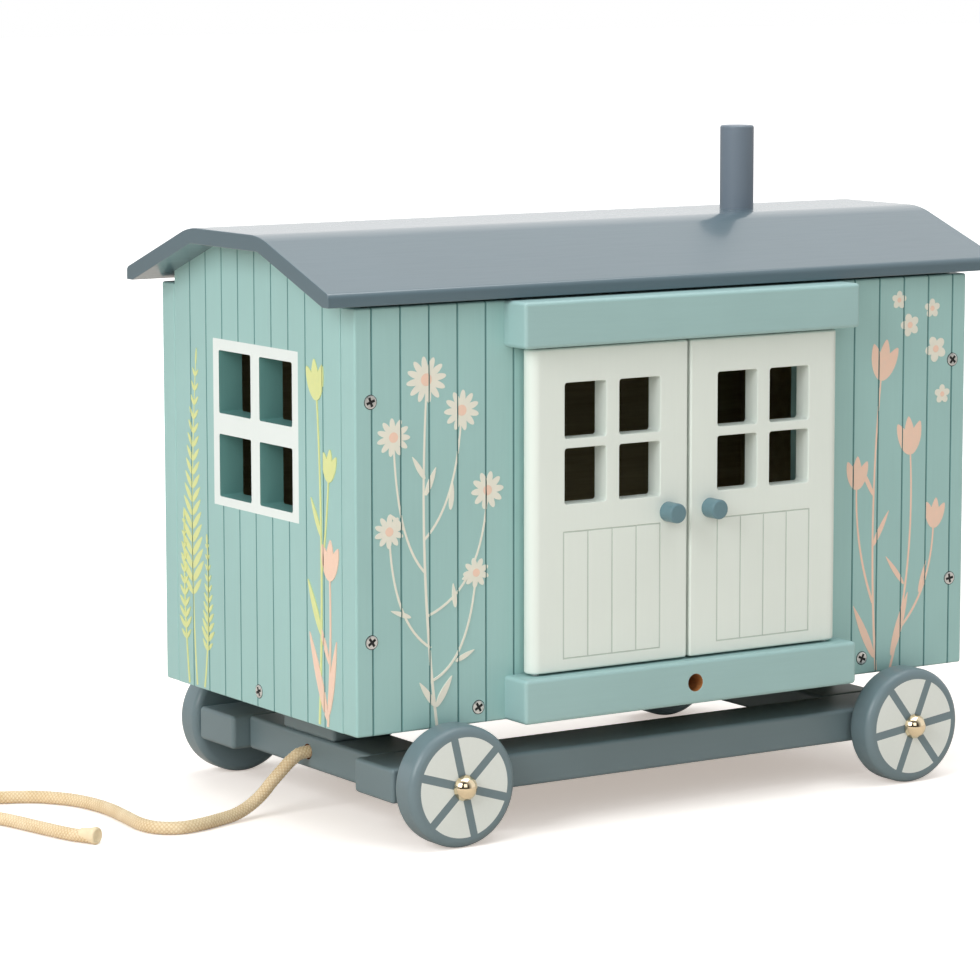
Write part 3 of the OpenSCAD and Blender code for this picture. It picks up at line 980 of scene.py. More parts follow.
        # painted light: the camera sees a glow, warm grey within floor_near of the toy and white beyond
        # floor_far
        glow = r.blend(fade, linear(self.shadow_tint), (1, 1, 1, 1))
        paper = r.blend(r.span(grain, 0.0, 1.0), *(linear(code) for code in self.paper))
        r.set(Base_Color=r.blend(seen, linear(self.bounce), paper), Roughness=0.9,
              Specular_IOR_Level=0.1, Emission_Color=glow, Emission_Strength=seen)
        mesh.materials.append(r.material)
        ground = in_scene("studio_floor", mesh)

    def build(self) -> None:
        """Sets up the whole studio."""
        bpy.context.scene.view_settings.view_transform = "Standard"
        self.camera()
        self.sky_light()
        self.floor()
        for lamp in self.lamps:
            self.hang(lamp)
        LOG.info("studio set")


@dataclass
class PullCord:
    """Braided cotton cord from its knot behind the cross member to its sealed free end."""

    diameter: float = 5.0
    sides: int = 40
    step: float = 0.5
    strands: int = BraidFinish.strands
    pitch: float = BraidFinish.pitch
    braid: float = 0.045
    curve_steps: int = 24
    knot_steps: int = 96
    route: Sequence[Triple] = (
        (-91.2, 0, 22.5), (-118.5, 0, 22.5), (-125, 0, 20.5), (-130, 0, 16.5), (-134.5, 0, 12.5),
        (-139, -0.5, 8.5), (-145, -1.5, 5), (-152, -3.5, 3), (-160, -6, 2.5), (-170, -9.5, 2.5),
        (-179, -10.5, 2.5), (-186, -6, 2.5), (-188.5, 3, 2.5), (-187.5, 17, 2.5), (-186.5, 32, 2.5),
        (-188, 46, 2.5), (-192, 57, 2.5), (-200, 67, 2.5), (-212, 73.5, 2.5), (-224, 78, 2.5),
        (-236, 79, 2.5), (-244, 72, 2.5), (-244, 62, 2.5), (-236, 52, 2.5), (-228, 40, 2.5),
        (-223, 21.5, 2.5), (-218.5, 4, 2.5), (-213.5, -7, 2.5),
    )

    def line(self) -> list[Vector]:
        """Runs one smooth curve through the route.

        Returns:
            Points a step apart.
        """
        pts = [Vector(p) for p in self.route]
        pts = [pts[0] * 2 - pts[1], *pts, pts[-1] * 2 - pts[-2]]
        fine: list[Vector] = []
        for p0, p1, p2, p3 in zip(pts, pts[1:], pts[2:], pts[3:]):
            for i in range(self.curve_steps):
                t = i / self.curve_steps
                fine.append(0.5 * (2 * p1 + (p2 - p0) * t + (2 * p0 - 5 * p1 + 4 * p2 - p3) * t ** 2
                                   + (3 * p1 - p0 - 3 * p2 + p3) * t ** 3))
        fine.append(pts[-2])
        even, spare = [fine[0]], 0.0
        for a, b in zip(fine, fine[1:]):
            gap = (b - a).length
            while spare + gap >= self.step:
                share = (self.step - spare) / gap
                a = a.lerp(b, share)
                gap = (b - a).length
                spare = 0.0
                even.append(a.copy())
            spare += gap
        even.append(fine[-1])
        return even

    def height(self, turn: float, along: float) -> float:
        """Gives the height of the braid's strands, from zero to one.

        Args:
            turn: Place round the cord, in turns.
            along: Place along it, in millimetres.

        Returns:
            The height.
        """
        a, b = self.strands * turn, self.strands * along / self.pitch
        return abs(math.sin(math.pi * (a + b))) * abs(math.sin(math.pi * (a - b)))

    def tube(self, line: Sequence[Vector], radius: float, braid: float) -> BMesh:
        """Sweeps a round section along a line, with the strands standing proud.

        Args:
            line: Points of the centre line.
            radius: Radius of the tube.
            braid: Height of the strands as a share of the radius.

        Returns:
            The closed tube with its own map.
        """
        bm = bmesh.new()
        chart: dict[BMVert, Pair] = {}
        ring_edges: list[BMEdge] = []
        before: list[BMVert] = []
        along = 0.0
        for i, spot in enumerate(line):
            ahead = (line[min(i + 1, len(line) - 1)] - line[max(i - 1, 0)]).normalized()
            side = UP.cross(ahead).normalized()
            rise = ahead.cross(side)
            if i == 0:
                verts = bmesh.ops.create_circle(bm, segments=self.sides, radius=1.0)["verts"]
                ring = sorted_ring(verts)
            else:
                along += (spot - line[i - 1]).length
                made = bmesh.ops.extrude_edge_only(bm, edges=ring_edges)
                ring = sorted_ring(new_verts(made))
                first, second = ({e.other_vert(w) for e in w.link_edges} for w in before[:2])
                start = next(k for k, w in enumerate(ring) if w in first)
                ring = ring[start:] + ring[:start]
                if ring[1] not in second:
                    ring = [ring[0], *reversed(ring[1:])]
            for k, vert in enumerate(ring):
                turn = k / self.sides
                r = radius * (1 - 2 * braid + 2 * braid * self.height(turn, along))
                vert.co = spot + (side * math.cos(math.tau * turn) + rise * math.sin(math.tau * turn)) * r
                chart[vert] = (turn, along)
            before = ring
            known = set(ring)
            ring_edges = [e for e in {e for w in ring for e in w.link_edges} if known.issuperset(e.verts)]
            if i in (0, len(line) - 1):
                bm.faces.new(ring)
        face_out(bm)
        layer = bm.loops.layers.uv.new("braid")
        for face in bm.faces:
            turns = [chart[c.vert][0] for c in face.loops]
            wraps = max(turns) - min(turns) > 0.5 and len(face.verts) == 4
            for loop in face.loops:
                turn, reach = chart[loop.vert]
                loop[layer].uv = (turn + 1 if wraps and turn < 0.5 else turn, reach)
        return bm

    def knot(self) -> bpy.types.Object:
        """Ties the stopper knot behind the cross member.

        Returns:
            The knot.
        """
        low, high = solid_box("cord_knot")
        middle = (low + high) / 2
        reach = min((high - low).y, (high - low).z) / 2
        thick = reach * 0.4
        size = (reach - thick) / 3
        line = []
        for i in range(self.knot_steps + 1):
            t = math.tau * i / self.knot_steps
            x, y = math.sin(t) + 2 * math.sin(2 * t), math.cos(t) - 2 * math.cos(2 * t)
            z = -math.sin(3 * t)
            line.append(Vector((z * size * 1.2, x * size, y * size)) + middle)
        flat = [Vector((p.y, p.z, p.x)) for p in line]
        bm = self.tube(flat, thick, self.braid)
        back = Matrix(((0, 0, 1, 0), (1, 0, 0, 0), (0, 1, 0, 0), (0, 0, 0, 1)))
        move(bm, back)
        return publish(bm, "stopper_knot", "hut", [Coat.COTTON], ["cord_knot"], 60)

    def seal(self, end: Vector, ahead: Vector) -> bpy.types.Object:
        """Shapes the widened, heat-sealed free end.

        Args:
            end: Last point of the cord.
            ahead: Its direction there.

        Returns:
            The end piece.
        """
        r = self.diameter / 2
        profile = [(r * wide, level) for wide, level in (
            (0.9, -5.0), (0.97, -3.0), (1.02, -1.6), (1.1, -0.6), (1.22, 0.2), (1.3, 0.9), (1.31, 1.4),
            (1.24, 1.9), (1.08, 2.2), (0.92, 2.2), (0.78, 2.0), (0.66, 1.7), (0.5, 1.6), (0.25, 1.75),
            (0.0, 1.8))]
        bm = turned(profile, 32)
        move(bm, upright_to(end + UP * r * 0.31, ahead))
        bm.faces.new(sorted_ring([w for w in bm.verts if w.is_boundary]))
        face_out(bm)
        return publish(bm, "cord_seal", "hut", [Coat.SEAL], ["cord_tip"], 60)

    def build(self) -> None:
        """Lays the cord, ties its knot and seals its end."""
        line = self.line()
        bm = self.tube(line, self.diameter / 2, self.braid)
        cord = publish(bm, "braided_cord", "hut", [Coat.COTTON], ["pull_cord"], 180)
        knot = self.knot()
        seal = self.seal(line[-1], (line[-1] - line[-6]).normalized())


@dataclass
class HutWalls:
    """Four boarded walls with a doorway and two windows, and the floor between them."""

    half_l: float = 140.0
    half_w: float = 72.0
    wall_t: float = 10.0
    gable_t: float = 10.0
    foot: float = 42.0
    head: float = 197.0
    gable_edge: float = 201.5
    knee: Pair = (25.44, 214.8)
    doorway: Opening = Opening((-62.0, 58.5), (62.0, 180.0))
    hidden_half: float = 64.0
    first_line: float = -133.0
    line_step: float = 12.1
    line_count: int = 23
    gable_line_step: float = 12.4
    gable_lines_each_side: int = 4
    line_w: float = 0.8
    line_d: float = 0.6
    edge: float = 0.9
    seam: float = 0.5
    skin: float = 0.8
    ramp: float = 0.6
    floor_edge: float = 0.6
    window: Opening = Opening((-31.85, 115.2), (31.85, 178.35))
    panes: Sequence[Opening] = tuple(
        Opening((y, z), (y + 24.2, z + 23.8)) for y in (-27.45, 3.25) for z in (118.6, 150.3))
    pane_corner: float = 0.8

    @property
    def board_lines(self) -> list[float]:
        """Where the board lines of a long wall run."""
        return [self.first_line + self.line_step * k for k in range(self.line_count)]

    @property
    def gable_lines(self) -> list[float]:
        """Where the board lines of a gable run."""
        each = self.gable_lines_each_side
        return [self.gable_line_step * k for k in range(-each, each + 1)]

    def faces_out(self) -> dict[str, Matrix]:
        """Gives, for each wall, the matrix that lays a drawing on its outer face."""
        ways = (("front", -Axis.Y.unit, self.half_w), ("back", Axis.Y.unit, self.half_w),
                ("left", -Axis.X.unit, self.half_l), ("right", Axis.X.unit, self.half_l))
        return {name: lay_on(normal, reach) for name, normal, reach in ways}

    def bare_inside(self, bm: BMesh, axis: Axis, inner: float, coat: int) -> None:
        """Leaves the inner face of a wall as bare timber.

        Args:
            bm: The wall.
            axis: The direction through it.
            inner: Where its inner face lies.
            coat: Index of the bare finish.
        """
        for face in bm.faces:
            if flat_at(face, axis, inner):
                face.material_index = coat

    def long_wall(self, side: int) -> None:
        """Builds a long wall; the front one has the doorway.

        Args:
            side: Minus one for the front, one for the back.
        """
        outer, inner = side * self.half_w, side * (self.half_w - self.wall_t)
        bm = block((-self.half_l, min(outer, inner), self.foot), (self.half_l, max(outer, inner), self.head))
        soften(bm, bm.edges[:], self.edge, 3)
        lines = self.board_lines
        if side < 0:
            pierce(bm, Axis.Y, [self.doorway])
            lines = [x for x in lines if abs(x) > self.hidden_half]
        cuts = [Cut(x, self.foot, self.head) for x in lines]
        engrave(bm, Axis.Y, outer, -side, cuts, self.line_w, self.line_d, self.edge * self.skin, 1)
        self.bare_inside(bm, Axis.Y, inner, 2)
        split = ("left", "right", "header", "threshold")
        name, nodes = ("back_boards", ["back_wall"]) if side > 0 else (
            "front_boards", [f"front_wall_{place}" for place in split])
        publish(bm, name, "hut", [Coat.TEAL, Coat.LINE_SHADE, Coat.WOOD], nodes)

    def gable(self, side: int) -> None:
        """Builds a gable wall with its white-framed window.

        Args:
            side: Minus one for the left, one for the right.
        """
        outer, inner = side * self.half_l, side * (self.half_l - self.gable_t)
        reach = self.half_w - self.wall_t
        outline = [(-reach, self.foot), (reach, self.foot), (reach, self.gable_edge), self.knee,
                   (-self.knee[0], self.knee[1]), (-reach, self.gable_edge)]
        bm = prism(outline, outer, inner)
        soften(bm, corners(bm, lambda m: abs(m.x - outer) < NEAR and m.z < self.gable_edge - 1), self.seam, 2)
        pierce(bm, Axis.X, self.panes, self.pane_corner)
        slice_at(bm, Axis.Y.value, self.window.lo[0], self.window.hi[0])
        slice_at(bm, Axis.Z.value, self.window.lo[1], self.window.hi[1])
        cuts: list[Cut] = []
        for y in self.gable_lines:
            if abs(y) < self.window.hi[0]:
                cuts.append(Cut(y, self.foot, self.window.lo[1] - self.ramp))
                cuts.append(Cut(y, self.window.hi[1] + self.ramp, self.knee[1] + 1))
            else:
                cuts.append(Cut(y, self.foot, self.knee[1] + 1))
        engrave(bm, Axis.X, outer, -side, cuts, self.line_w, self.line_d, self.seam * self.skin, 1)
        for face in bm.faces:
            middle = face.calc_center_median()
            if self.window.holds(middle.y, middle.z):
                # the window's outer face is painted white; its reveals get the darker teal that paints their
                # shade
                face.material_index = 3 if flat_at(face, Axis.X, outer) else 4
        self.bare_inside(bm, Axis.X, inner, 2)
        name = "left" if side < 0 else "right"
        publish(bm, f"{name}_gable_boards", "hut",
                [Coat.TEAL, Coat.LINE_SHADE, Coat.WOOD, Coat.WHITE, Coat.REVEAL_SHADE], [f"{name}_gable"])

    def build(self) -> None:
        """Builds the walls and dresses the floor."""
        for side in (-1, 1):
            self.long_wall(side)
            self.gable(side)
        bm = block(*solid_box("floor"))
        soften(bm, bm.edges[:], self.floor_edge, 2)
        publish(bm, "hut_floor", "hut", [Coat.WOOD], ["floor"])


@dataclass
class RoofCap:
    """Three-facet roof with rounded knees, and its chimney."""

    half_l: float = 153.0
    eave: float = 76.0
    eave_z: float = 198.0
    eave_in: float = 71.6
    knee_y: float = 26.5
    crown_z: float = 220.8
    thick: float = 6.0
    pitch: float = 20.0
    knee_in: float = 25.44
    knee_r: float = 32.0
    nose_r: float = 1.9
    end_r: float = 1.4
    chimney_at: Pair = (81.0, 0.0)
    chimney_r: float = 6.7
    chimney_h: float = 33.0
    chimney_edge: float = 0.8

    def roof(self) -> None:
        """Builds the roof from its section."""
        nose_z = self.crown_z - (self.eave - self.knee_y) * math.tan(math.radians(self.pitch))
        right = [(self.knee_in, self.crown_z - self.thick), (self.eave_in, self.eave_z),
                 (self.eave, self.eave_z), (self.eave, nose_z), (self.knee_y, self.crown_z)]
        outline = right + [(-y, z) for y, z in reversed(right)]
        bm = prism(outline, -self.half_l, self.half_l)

        def along(y: float, z: float) -> list[BMEdge]:
            """Lists the edges that run the length of the roof at a place of its section."""
            return [e for e in bm.edges if e.calc_length() > self.half_l
                    and all(abs(abs(w.co.y) - y) < NEAR and abs(w.co.z - z) < NEAR for w in e.verts)]

        knees = along(self.knee_y, self.crown_z)
        soften(bm, knees, self.knee_r * math.tan(math.radians(self.pitch / 2)), 8)
        noses = along(self.eave, nose_z)
        soften(bm, noses, self.nose_r * math.tan(math.radians(45 - self.pitch / 2)), 4)
        rims = [e for e in bm.edges if all(abs(abs(w.co.x) - self.half_l) < NEAR for w in e.verts)]
        soften(bm, rims, self.end_r, 3)
        publish(bm, "roof_boards", "hut", [Coat.ROOF], ["roof"])

    def chimney(self) -> None:
        """Turns the chimney."""
        bm = turned([(0, 0), (self.chimney_r, 0), (self.chimney_r, self.chimney_h), (0, self.chimney_h)], 48)
        soften(bm, corners(bm, lambda m: m.z > 1), self.chimney_edge, 3)
        bmesh.ops.translate(bm, vec=(*self.chimney_at, self.crown_z), verts=bm.verts)
        publish(bm, "chimney_pipe", "hut", [Coat.CHIMNEY], ["chimney"])

    def build(self) -> None:
        """Builds the roof and its chimney."""
        self.roof()
        self.chimney()


@dataclass
class DoorCase:
    """Lintel and sill that hold the hinge pins; the sill has a drilled peg hole."""

    half_l: float = 76.5
    front: float = -86.0
    wall: float = -72.0
    lintel: Pair = (180.0, 197.0)
    sill: Pair = (42.0, 58.5)
    edge: float = 1.5
    peg_r: float = 3.3
    peg_depth: float = 10.0
    peg_rim: float = 0.3

    def rail(self, span: Pair) -> BMesh:
        """Makes a rail with softened edges away from the wall.

        Args:
            span: Its lowest and highest level.

        Returns:
            The rail.
        """
        bm = block((-self.half_l, self.front, span[0]), (self.half_l, self.wall, span[1]))
        soften(bm, corners(bm, lambda m: m.y < self.wall - 0.1), self.edge, 4)
        return bm

    def build(self) -> None:
        """Builds both rails."""
        bm = self.rail(self.lintel)
        publish(bm, "lintel_board", "hut", [Coat.TEAL_RAIL], ["lintel_rail"])
        bm = self.rail(self.sill)
        level = sum(self.sill) / 2
        drill(bm, Axis.Y, self.front, (0.0, level), self.peg_r, self.peg_depth, 1)
        rim = [e for e in corners(bm) if abs(e.verts[0].co.y - self.front) < NEAR
               and all(math.hypot(w.co.x, w.co.z - level) < self.peg_r + 0.1 for w in e.verts)]
        soften(bm, rim, self.peg_rim, 2)
        publish(bm, "sill_board", "hut", [Coat.TEAL_RAIL, Coat.DRILLED], ["sill_rail"])


@dataclass
class DoorLeaf:
    """One painted door: four panes above, engraved boards below, a knob and two hinge pins."""

    side: int
    meet: float = 0.6
    hinge: float = 70.5
    front: float = -81.0
    back: float = -73.0
    foot: float = 59.3
    head: float = 179.2
    round_r: float = 3.9
    edge: float = 0.9
    panes: Sequence[Opening] = tuple(
        Opening((x, z), (x + 18.4, z + 20.6)) for x in (13.2, 37.5) for z in (121.5, 145.7))
    pane_corner: float = 1.1
    pane_rim: float = 0.45
    panel: Opening = Opening((13.2, 64.2), (56.5, 111.2))
    boards: int = 4
    line_w: float = 0.55
    line_d: float = 0.2
    knob_at: Pair = (9.6, 115.3)
    knob_r: float = 3.75
    knob_l: float = 7.0
    knob_edge: float = 0.8

    @property
    def body(self) -> str:
        """The door's body in the frame."""
        return "left_door" if self.side < 0 else "right_door"

    def flip(self, bm: BMesh) -> None:
        """Carries a right-hand mesh over to the left for the left door."""
        if self.side < 0:
            bmesh.ops.scale(bm, vec=(-1, 1, 1), verts=bm.verts)
            bmesh.ops.reverse_faces(bm, faces=bm.faces)

    def leaf(self) -> None:
        """Builds the leaf."""
        bm = block((self.meet, self.front, self.foot), (self.hinge, self.back, self.head))
        soften(bm, [e for e in bm.edges if flat_at(e, Axis.X, self.hinge) and runs_along(e, Axis.Z) > 0.9],
               self.round_r, 8)
        soften(bm, corners(bm), self.edge, 3)
        pierce(bm, Axis.Y, self.panes, self.pane_corner, self.pane_rim)
        lo, hi = self.panel.lo, self.panel.hi
        cuts = [Cut(lo[0] + (hi[0] - lo[0]) * k / self.boards, lo[1], hi[1]) for k in range(self.boards + 1)]
        cuts += [Cut(z, lo[0], hi[0], upright=False) for z in (lo[1], hi[1])]
        engrave(bm, Axis.Y, self.front, 1, cuts, self.line_w, self.line_d, NEAR, 1)
        self.flip(bm)
        publish(bm, f"{self.body}_leaf", self.body, [Coat.CREAM, Coat.DOOR_LINE],
                [self.body])

    def knob(self) -> None:
        """Turns the knob."""
        bm = turned([(0, 0), (self.knob_r, 0), (self.knob_r, self.knob_l), (0, self.knob_l)], 40)
        soften(bm, corners(bm, lambda m: m.z > 1), self.knob_edge, 4)
        place = Matrix.Translation((self.knob_at[0], self.front, self.knob_at[1]))
        move(bm, place @ Matrix.Rotation(math.pi / 2, 4, "X"))
        self.flip(bm)
        node = "left_knob" if self.side < 0 else "right_knob"
        publish(bm, f"{node}_dowel", self.body, [Coat.KNOB], [node])

    def build(self) -> None:
        """Builds the leaf and its knob and dresses the pins."""
        self.leaf()
        self.knob()
        dress(f"{self.body}_pins", Coat.STEEL)


@dataclass
class Chassis:
    """Two side rails, two cross members and the bolsters that carry the hut."""

    edge: float = 1.6
    cord_hole_r: float = 3.0

    def timber(self, node: str) -> BMesh:
        """Makes a timber with all its edges softened, in its solid's place.

        Args:
            node: The solid.

        Returns:
            The timber.
        """
        bm = block(*solid_box(node))
        soften(bm, bm.edges[:], self.edge, 4)
        return bm

    def build(self) -> None:
        """Builds every timber; the left cross member has the cord's hole."""
        for node in ("front_rail", "back_rail", "right_cross_member", "left_bolster", "right_bolster"):
            publish(self.timber(node), f"{node}_timber", "hut", [Coat.SLATE], [node])
        low, high = solid_box("left_cross_member")
        bm = self.timber("left_cross_member")
        level = (low.z + high.z) / 2
        drill(bm, Axis.X, low.x, (0.0, level), self.cord_hole_r, high.x - low.x, 1, through=True)
        publish(bm, "left_cross_member_timber", "hut", [Coat.SLATE, Coat.DRILLED],
                ["left_cross_member"])


@dataclass
class RoadWheel:
    """One wheel with painted spokes, and the domed pin that it turns on."""

    name: str
    x: int
    y: int
    spoke_turn: float
    axle_x: float = 104.0
    inner: float = 74.5
    axle_z: float = 22.5
    radius: float = 22.5
    width: float = 13.0
    bore: float = 2.6
    edge: float = 3.0
    pale_r: float = 18.57
    spokes: int = 6
    spoke_w: float = 3.1
    cap_r: float = 4.8
    cap_h: float = 4.2
    cap_gap: float = 0.4
    cap_steps: int = 10
    shank_r: float = 2.5
    shank_in: float = 22.0

    def stand(self, out: float) -> Matrix:
        """Gives the turn and place that stand a turned piece on its axle.

        Args:
            out: How far its base lies outside the wheel's inner face.

        Returns:
            The matrix.
        """
        place = Matrix.Translation((self.x * self.axle_x, self.y * (self.inner + out), self.axle_z))
        return place @ Matrix.Rotation(-self.y * math.pi / 2, 4, "X")

    def wheel(self) -> None:
        """Turns the wheel and paints the pale fields between its spokes."""
        w = self.width
        section = [(self.bore, 0), (self.radius, 0), (self.radius, w), (self.pale_r, w), (self.bore, w)]
        bm = turned(section, 96, closed=True)
        soften(bm, corners(bm, lambda m: m.xy.length > self.pale_r), self.edge, 6)
        half = self.spoke_w / 2
        lines: list[Vector] = []

        def disc() -> list[BMFace]:
            """Lists the faces of the painted disc."""
            return [f for f in bm.faces if flat_at(f, Axis.Z, w)
                    and all(u.co.xy.length < self.pale_r + NEAR for u in f.verts)]

        for k in range(self.spokes // 2):
            a = math.radians(self.spoke_turn) + math.pi * 2 * k / self.spokes
            normal = Vector((-math.sin(a), math.cos(a), 0))
            lines.append(normal)
            for off in (-half, half):
                faces = disc()
                geom = list({g for f in faces for g in (*f.verts, *f.edges)}) + faces
                bmesh.ops.bisect_plane(bm, geom=geom, dist=1e-5, plane_co=normal * off, plane_no=normal)
        for face in disc():
            middle = face.calc_center_median()
            face.material_index = int(all(abs(middle.dot(n)) > half for n in lines))
        move(bm, self.stand(0.0))
        face_out(bm)
        publish(bm, f"{self.name}_wheel_disc", f"{self.name}_wheel",
                [Coat.WHEEL, Coat.WHEEL_PALE], [f"{self.name}_wheel"])

    def pin(self) -> None:
        """Turns the domed brass pin."""
        ball = (self.cap_r ** 2 + self.cap_h ** 2) / (2 * self.cap_h)
        reach = self.width + self.cap_gap + self.shank_in
        profile = [(0.0, -reach), (self.shank_r, -reach), (self.shank_r, 0.0), (self.cap_r, 0.0)]
        start = math.asin(self.cap_r / ball)
        for k in range(1, self.cap_steps + 1):
            a = start * (1 - k / self.cap_steps)
            profile.append((ball * math.sin(a), self.cap_h - ball + ball * math.cos(a)))
        bm = turned(profile, 40)
        move(bm, self.stand(self.width + self.cap_gap))
        face_out(bm)
        publish(bm, f"{self.name}_axle_pin", "hut", [Coat.BRASS],
                [f"{self.name}_axle"], 50)

    def build(self) -> None:
        """Builds the wheel and its pin."""
        self.wheel()
        self.pin()


@dataclass
class Screws:
    """Countersunk cross-head screws that hold the boards, with painted shade: near-black in their cross
    recesses and in a ring round each head.
    """

    walls: HutWalls
    head_r: float = 2.45
    head_edge: float = 0.2
    proud: float = 0.25
    sunk: float = 0.5
    slot_w: float = 1.0
    slot_r: float = 1.8
    rim: float = 0.22
    slot_d: float = 0.9
    slot_taper: float = 0.7
    rim_proud: float = 0.05
    rim_sunk: float = 0.4
    sides: int = 24
    front: Sequence[Triple] = (
        (-133.5, 163.3, 20), (133.5, 163.3, 50), (-133.5, 76.4, 35), (133.5, 76.4, 10),
        (-88, 48, 30), (90, 48.5, 65))
    gable: Sequence[Triple] = ((1.0, 48.0, 25),)

    def screw(self, spin: float) -> BMesh:
        """Makes one head, its axis along Z and its base sunk below zero.

        Args:
            spin: Turn of its cross, in degrees.

        Returns:
            The head.
        """
        bm = bmesh.new()
        bmesh.ops.create_circle(bm, cap_ends=True, segments=self.sides, radius=self.head_r)
        made = bmesh.ops.extrude_face_region(bm, geom=bm.faces[:], use_keep_orig=True)
        top = new_verts(made)
        bmesh.ops.translate(bm, vec=(0, 0, self.proud + self.sunk), verts=top)
        bmesh.ops.translate(bm, vec=(0, 0, -self.sunk), verts=bm.verts)
        face_out(bm)
        soften(bm, corners(bm, lambda m: m.z > 0), self.head_edge, 2)
        half = self.slot_w / 2
        for axis in (Axis.X, Axis.Y):
            slice_at(bm, axis.value, -self.slot_r, -half, half, self.slot_r)
        cross: list[BMFace] = []
        for face in bm.faces:
            m = face.calc_center_median()
            u, v = sorted((abs(m.x), abs(m.y)))
            if m.z > self.proud - NEAR and u < half and v < self.slot_r:
                cross.append(face)
        made = bmesh.ops.extrude_face_region(bm, geom=cross)
        low = new_verts(made)
        bmesh.ops.delete(bm, geom=[f for f in cross if f.is_valid], context="FACES_ONLY")
        bmesh.ops.translate(bm, vec=(0, 0, -self.slot_d), verts=low)
        bmesh.ops.scale(bm, vec=(self.slot_taper, self.slot_taper, 1), verts=low)
        # the cross recess takes the near-black coat: painted shade
        known = set(low)
        for face in bm.faces:
            if any(w in known for w in face.verts):
                face.material_index = 1
        # a dark ring just wider than the head: painted shadow of the head's seat in the board
        rim = bmesh.ops.create_circle(bm, cap_ends=True, segments=self.sides,
                                      radius=self.head_r + self.rim)["verts"]
        seat = list({f for w in rim for f in w.link_faces})
        made = bmesh.ops.extrude_face_region(bm, geom=seat, use_keep_orig=True)
        base = new_verts(made)
        bmesh.ops.translate(bm, vec=(0, 0, self.rim_proud), verts=rim)
        bmesh.ops.translate(bm, vec=(0, 0, -self.rim_sunk), verts=base)
        for face in {f for w in rim + base for f in w.link_faces}:
            face.material_index = 1
        turn = Matrix.Rotation(math.radians(spin), 3, "Z")
        bmesh.ops.rotate(bm, cent=(0, 0, 0), matrix=turn, verts=bm.verts)
        face_out(bm)
        return bm

    def build(self) -> None:
        """Sets the screws on all four walls."""
        for wall, lie in self.walls.faces_out().items():
            places = self.front if wall in ("front", "back") else self.gable
            for i, (u, v, spin) in enumerate(places):
                bm = self.screw(spin)
                move(bm, lie @ Matrix.Translation((u, v, 0)))
                publish(bm, f"{wall}_screw_{i + 1}", "hut", [Coat.STEEL, Coat.RECESS_SHADE])


